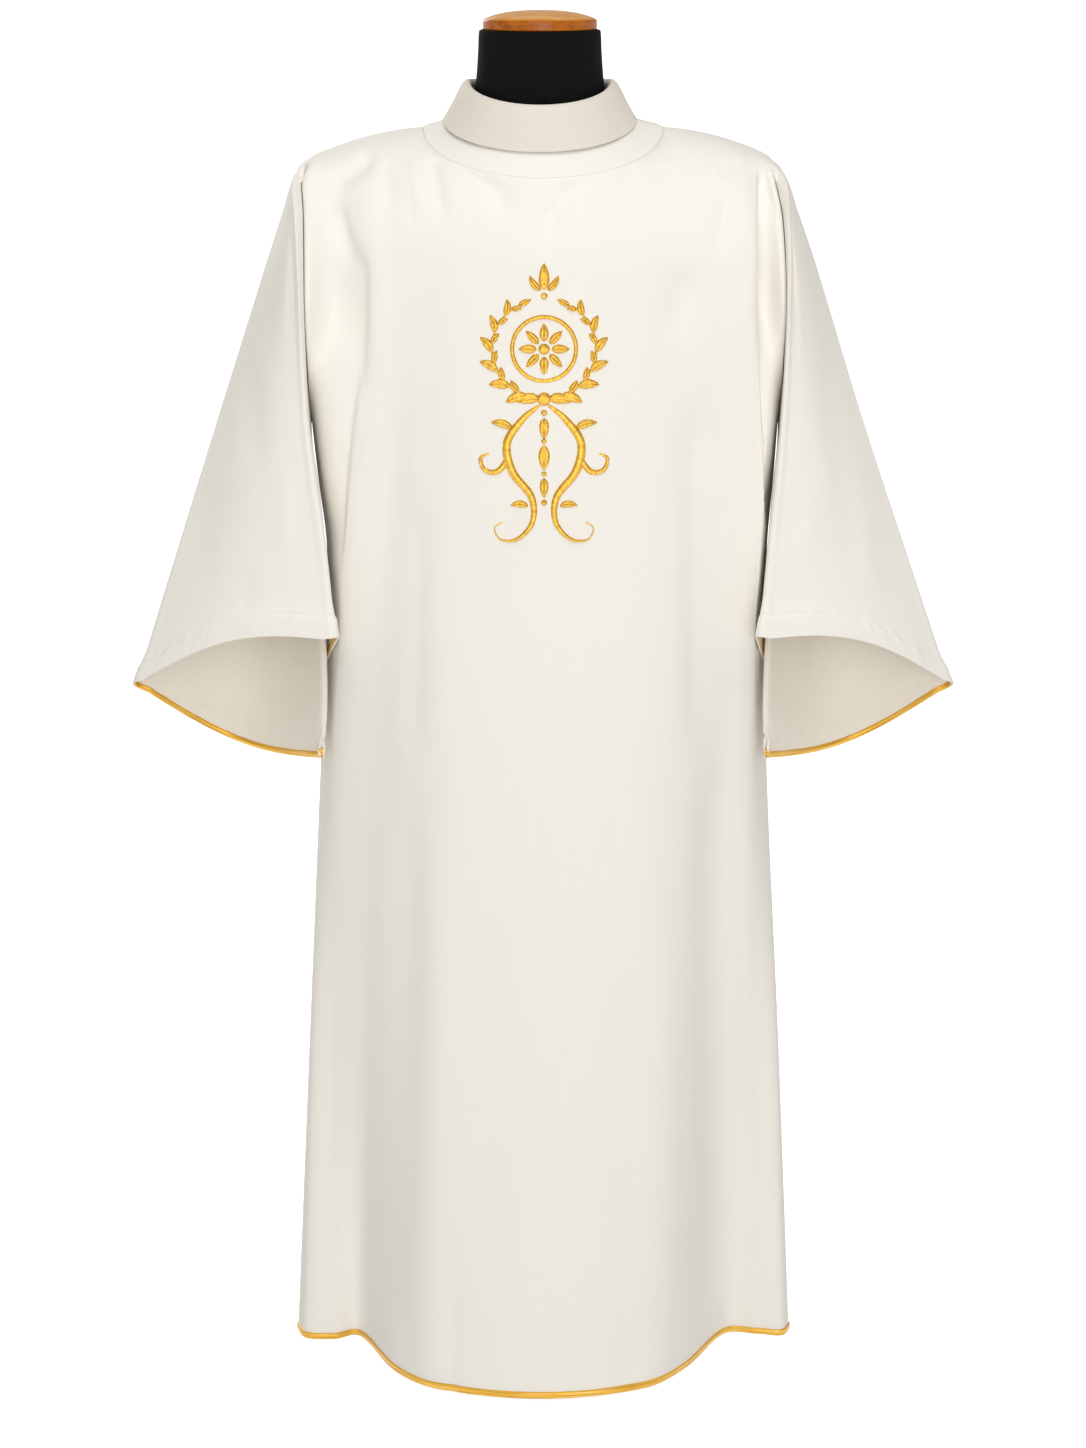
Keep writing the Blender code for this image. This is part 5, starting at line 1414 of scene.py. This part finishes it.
def leafShape(base, direction, length, width, bend=0.0, height=0.0023):
    along = heading(direction)
    across = Vector((-along.y, along.x))
    corners = [Vector(base) + along * length * share + across * bend * math.sin(math.pi * share) for share in
               (0.0, 0.25, 0.5, 0.75, 1.0)]
    path = curvePoints(corners, max(8, int(length / 1.3)))
    return satinShape(path, lambda s: width * math.sin(math.pi * s ** 0.8) ** 0.75 + 0.15, height, 0.4, 0.55)


def discShape(centre, radius, height=0.0026):
    path = [Vector((centre[0] + radius * share, centre[1])) for share in
            (-1.0, -0.9, -0.7, -0.45, -0.2, 0.0, 0.2, 0.45, 0.7, 0.9, 1.0)]
    return satinShape(path, lambda s: max(radius * math.sqrt(max(1 - (2 * s - 1) ** 2, 0.0)), 0.2), height)


def tailWidth(s):
    return 0.7 + (3.5 * math.sin(math.pi * min(s * 1.12, 1.0) ** 0.7) ** 0.8 if s < 0.89 else 0.3 * (1 - s))


def pairedLeaf(side, name):
    leaf = dict(zip(leafColumns, pairedLeaves[name]))
    return leafShape((side * leaf["x"], leaf["z"]), math.pi / 2 - side * leaf["turn"], leaf["length"],
                     leaf["width"], bend=side * leaf["bend"])


def rosetteShapes():
    heart, up = Vector(rosette["heart"]), math.pi / 2
    ring = [heart + heading(2 * math.pi * n / 96 - up) * rosette["ringRadius"] for n in range(97)]
    shapes = [satinShape(ring, lambda s: rosette["ringWidth"], 0.0022)]
    for n in range(rosette["petals"]):
        turn = up + 2 * math.pi * n / rosette["petals"]
        shapes.append(leafShape(heart + heading(turn) * rosette["petalStart"], turn, rosette["petalLength"],
                                rosette["petalWidths"][n % 2]))
    return shapes + [discShape(heart, rosette["disc"])]


def laurelShapes(side):
    steps, heart, stem = laurel["steps"], Vector(rosette["heart"]), []
    for n in range(steps + 1):
        angle = math.radians(laurel["startDegrees"] + laurel["sweepDegrees"] * n / steps)
        radius = laurel["radius"] + laurel["widening"] * math.sin(angle)
        stem.append(heart + Vector((side * math.sin(angle), -math.cos(angle))) * radius)
    shapes = [satinShape(stem, lambda s: 1.5 - 0.6 * s, 0.0018)]
    for k, place in enumerate(laurel["leafPlaces"]):
        along = stem[place + 1] - stem[place - 1]
        length = laurel["leafLength"] - laurel["leafShortens"] * k
        for way, kind, at, size in ((-side, "outer", place, length),
                                    (side, "inner", min(place + laurel["innerPlace"], steps),
                                     length * laurel["innerLength"])):
            width = laurel[kind + "Width"] - laurel[kind + "Narrows"] * k
            turn = math.atan2(along.y, along.x) + way * laurel[kind + "Turn"]
            shapes.append(leafShape(stem[at], turn, size, width, bend=side * laurel[kind + "Bend"]))
    along = stem[steps] - stem[steps - 2]
    return shapes + [leafShape(stem[steps - 1], math.atan2(along.y, along.x), 13.0, 2.9)]


# A rosette in a ring, two laurel sprays, a bud above, and below a tie with curling tails and a row of drops.
def designShapes():
    shapes = rosetteShapes() + laurelShapes(-1) + laurelShapes(1)
    shapes.append(leafShape((0.0, 116.0), math.pi / 2, 25.0, 5.2))
    shapes += [pairedLeaf(side, "bud") for side in (-1, 1)]
    shapes += [discShape((0.0, z), radius) for z, radius in discs[:2]]
    for side in (-1, 1):
        tail, spur = (curvePoints([(side * x, z) for x, z in tails[name]], steps)
                      for name, steps in (("tail", 140), ("spur", 46)))
        shapes += [pairedLeaf(side, "tie"), satinShape(tail, tailWidth, 0.0026),
                   satinShape(spur, lambda s: 2.7 * (1 - s) ** 0.6 + 0.7, 0.0022),
                   pairedLeaf(side, "upperTail"), pairedLeaf(side, "lowerTail")]
    shapes += [leafShape((0.0, z), -math.pi / 2, length, width) for z, length, width in drops]
    return shapes + [discShape((0.0, z), radius) for z, radius in discs[2:]]


def makeEmbroidery():
    reach = BVHTree.FromObject(frontPiece, bpy.context.evaluated_depsgraph_get())
    points, faces, uvs = [], [], []
    acrossSteps = embroidery["acrossSteps"]
    ring = acrossSteps + 1
    middle = Vector(embroidery["middle"])
    for number, shape in enumerate(designShapes()):
        path = shape["path"]
        marks = lengthsAlong(path)
        base, places = len(points), []
        for n, point in enumerate(path):
            along = (path[min(n + 1, len(path) - 1)] - path[max(n - 1, 0)]).normalized()
            across = Vector((-along.y, along.x))
            share = marks[n] / marks[-1]
            width = shape["width"](share)
            rise = shape["height"] * min(1.0, embroidery["narrowHeight"] + width / embroidery["fullWidth"])
            rise *= min(1.0, embroidery["endHeight"] + embroidery["endRise"] * min(share, 1 - share))
            for k in range(ring):
                s = -1 + 2 * k / acrossSteps
                flat = point + across * width * s
                spot, normal = onFront(reach, middle.x + flat.x / 1000, middle.y + flat.y / 1000)
                dome = max(1 - s * s, 0.0) ** 0.5
                dome *= 1 - shape["ridge"] * math.exp(-(s / embroidery["ridgeWidth"]) ** 2)
                sink = embroidery["sink"] if k in (0, acrossSteps) else 0.0
                points.append(spot + normal * (rise * dome - sink))
                thread = marks[n] + shape["slant"] * abs(s) * width
                places.append((thread / 1000 + number * embroidery["textureStep"], width * s / 1000))
        shapeFaces = tubeFaces(len(path), ring)
        shapeFaces += [list(range(start, start + ring)) for start in (0, (len(path) - 1) * ring)]
        faces += [[base + corner for corner in face] for face in shapeFaces]
        uvs += [places[corner] for face in shapeFaces for corner in face]
    piece = addShell("frontEmbroidery", points, faces, uvs, stitchGold)
    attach(piece, "root")
    print(f"embroidery: {len(faces)} faces")
    return piece


print("Embroidering the front")
embroideryPiece = makeEmbroidery()


# The dress form's neck cover, its cap and the stand.
formNeck = (
    (0.0555, 0.0555, 0.0555, 1.3620, 1.3620, 1.3620),
    (0.0573, 0.0573, 0.0573, 1.3605, 1.3605, 1.3605),
    (0.0582, 0.0582, 0.0582, 1.3430, 1.3430, 1.3430),
    (0.0600, 0.0600, 0.0600, 1.3180, 1.3180, 1.3180),
    (0.0620, 0.0620, 0.0605, 1.3040, 1.3000, 1.3060),
    (0.0645, 0.0635, 0.0615, 1.2920, 1.2790, 1.2980),
    (0.0690, 0.0675, 0.0620, 1.2785, 1.2550, 1.2870),
)
neckCover = {"rows": 6, "around": 160, "thickness": 0.0005, "lift": 0.0006, "rimLift": 0.0003}
capProfile = ((0.0530, 0.0000), (0.0540, 0.0004), (0.0543, 0.0012), (0.0543, 0.0078), (0.0536, 0.0092),
              (0.0529, 0.0098), (0.0500, 0.0112), (0.0460, 0.0127), (0.0400, 0.0144), (0.0320, 0.0160),
              (0.0220, 0.0172), (0.0110, 0.0178), (0.0020, 0.0180))
stand = {
    "y": 0.012,
    "baseProfile": ((0.1125, 0.0), (0.1144, 0.0006), (0.1150, 0.0018), (0.1150, 0.0036), (0.1142, 0.0047),
                    (0.1125, 0.0052), (0.0800, 0.0068), (0.0380, 0.0088), (0.0300, 0.0104), (0.0256, 0.0130),
                    (0.0240, 0.0170), (0.0240, 0.0440), (0.0234, 0.0448), (0.0222, 0.0450), (0.0158, 0.0450),
                    (0.0153, 0.0444), (0.0153, 0.0030)),
    "poleProfile": ((0.0150, 0.0033), (0.0150, 0.6130), (0.0156, 0.6136), (0.0440, 0.6137), (0.0450, 0.6145),
                    (0.0450, 0.6190), (0.0443, 0.6197)),
}


def turnedPiece(name, profile, centre, material, node, sides=96, smoothBelow=32):
    bpy.ops.object.select_all(action="DESELECT")
    radius, height = profile[0]
    bpy.ops.mesh.primitive_circle_add(vertices=sides, radius=radius, fill_type="NGON",
                                      location=(centre[0], centre[1], centre[2] + height))
    piece = bpy.context.object
    piece.name = name
    bpy.ops.object.transform_apply(location=True, rotation=False, scale=False)
    bpy.ops.object.mode_set(mode="EDIT")
    bpy.ops.mesh.select_all(action="SELECT")
    for wider, higher in profile[1:]:
        bpy.ops.mesh.extrude_region_move(TRANSFORM_OT_translate={"value": (0, 0, higher - height)})
        bpy.ops.transform.resize(value=(wider / radius, wider / radius, 1),
                                 center_override=(centre[0], centre[1], centre[2] + higher))
        radius, height = wider, higher
    bpy.ops.mesh.poke()
    bpy.ops.mesh.select_all(action="SELECT")
    bpy.ops.mesh.normals_make_consistent(inside=False)
    bpy.ops.object.mode_set(mode="OBJECT")
    bpy.ops.object.shade_smooth_by_angle(angle=math.radians(smoothBelow))
    piece.data.materials.append(material)
    piece.select_set(False)
    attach(piece, "root")
    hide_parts(node)


def makeNeckCover():
    rows = rowsThroughRings(formNeck, neckCover["rows"], neckCover["around"])
    normals = gridNormals(rows, 1, closed=True)
    shaped = lifted(rows, normals, lambda r, n, point: neckCover["lift" if r > 3 else "rimLift"])
    piece = addSheet("neckJersey", shaped, ringTexture(rows), 1, (jersey,), neckCover["thickness"],
                     closed=True, edgeRound=0.0)
    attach(piece, "root")
    return piece


print("Building the form and its stand")
makeNeckCover()
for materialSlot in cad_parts["form_body"].material_slots:
    materialSlot.material = jersey
neckTop = formNeck[0][3] + neckCover["rimLift"]
turnedPiece("neckCapWood", capProfile, (neckPlace["x"], 0.0, neckTop), varnishedWood, "neck_cap",
            smoothBelow=20)
turnedPiece("standBaseSteel", stand["baseProfile"], (0.0, stand["y"], 0.0), lacqueredSteel, "stand_base")
turnedPiece("standPoleSteel", stand["poleProfile"], (0.0, stand["y"], 0.0), lacqueredSteel, "stand_pole",
            sides=64)


# Floor, light and camera.
studio = {
    "floorSize": 160.0,
    "floorColour": "#FFFFFF",
    "floorGlow": 0.80,
    "worldColour": (1.0, 0.975, 0.935, 1.0),
    "worldStrength": 0.53,
    "lights": (                     # name, place, target, size and watts
        ("overhead", (0.0, -1.7, 3.5), (0.0, 0.0, 0.95), 1.8, 24.0),
        ("frontSoftbox", (0.0, -4.4, 2.1), (0.0, 0.0, 0.70), 2.4, 34.0),
        ("lowFill", (0.8, -4.3, 1.0), (0.02, 0.0, 0.50), 2.0, 36.0),
        ("backSoftbox", (-1.8, 3.8, 2.2), (0.0, 0.0, 0.80), 1.8, 55.0),
    ),
    "cameraPlace": (0.0, -3.2, 1.48),
    "cameraTilt": 76.0,
    "cameraLens": 82.0,
}


def makeStudio():
    bpy.ops.object.select_all(action="DESELECT")
    bpy.ops.mesh.primitive_plane_add(size=studio["floorSize"], location=(0, 0, 0))
    floor = bpy.context.object
    floor.name = "paleFloor"
    # Seamless white paper: matt.
    floor.data.materials.append(newMaterial(
        "whitePaper", studio["floorColour"], 0.9,
        {"Emission Color": linearColour(studio["floorColour"]), "Emission Strength": studio["floorGlow"]}))
    floor.visible_diffuse = False
    floor.select_set(False)
    world = bpy.context.scene.world or bpy.data.worlds.new("studioWorld")
    bpy.context.scene.world = world
    world.use_nodes = True
    background = next(node for node in world.node_tree.nodes if node.type == "BACKGROUND")
    background.inputs["Color"].default_value = studio["worldColour"]
    background.inputs["Strength"].default_value = studio["worldStrength"]
    for name, place, target, size, power in studio["lights"]:
        bpy.ops.object.light_add(type="AREA", location=place)
        lamp = bpy.context.object
        lamp.name = name
        lamp.data.shape = "SQUARE"
        lamp.data.size = size
        lamp.data.energy = power
        lamp.rotation_euler = (Vector(target) - Vector(place)).to_track_quat("-Z", "Y").to_euler()
        lamp.select_set(False)
    bpy.ops.object.camera_add(location=studio["cameraPlace"],
                              rotation=(math.radians(studio["cameraTilt"]), 0, 0))
    camera = bpy.context.object
    camera.data.lens = studio["cameraLens"]
    camera.data.sensor_width = 36.0
    camera.data.clip_end = 400.0
    camera.select_set(False)
    bpy.context.scene.camera = camera
    bpy.context.scene.view_settings.view_transform = "Standard"


print("Lighting the studio")
makeStudio()
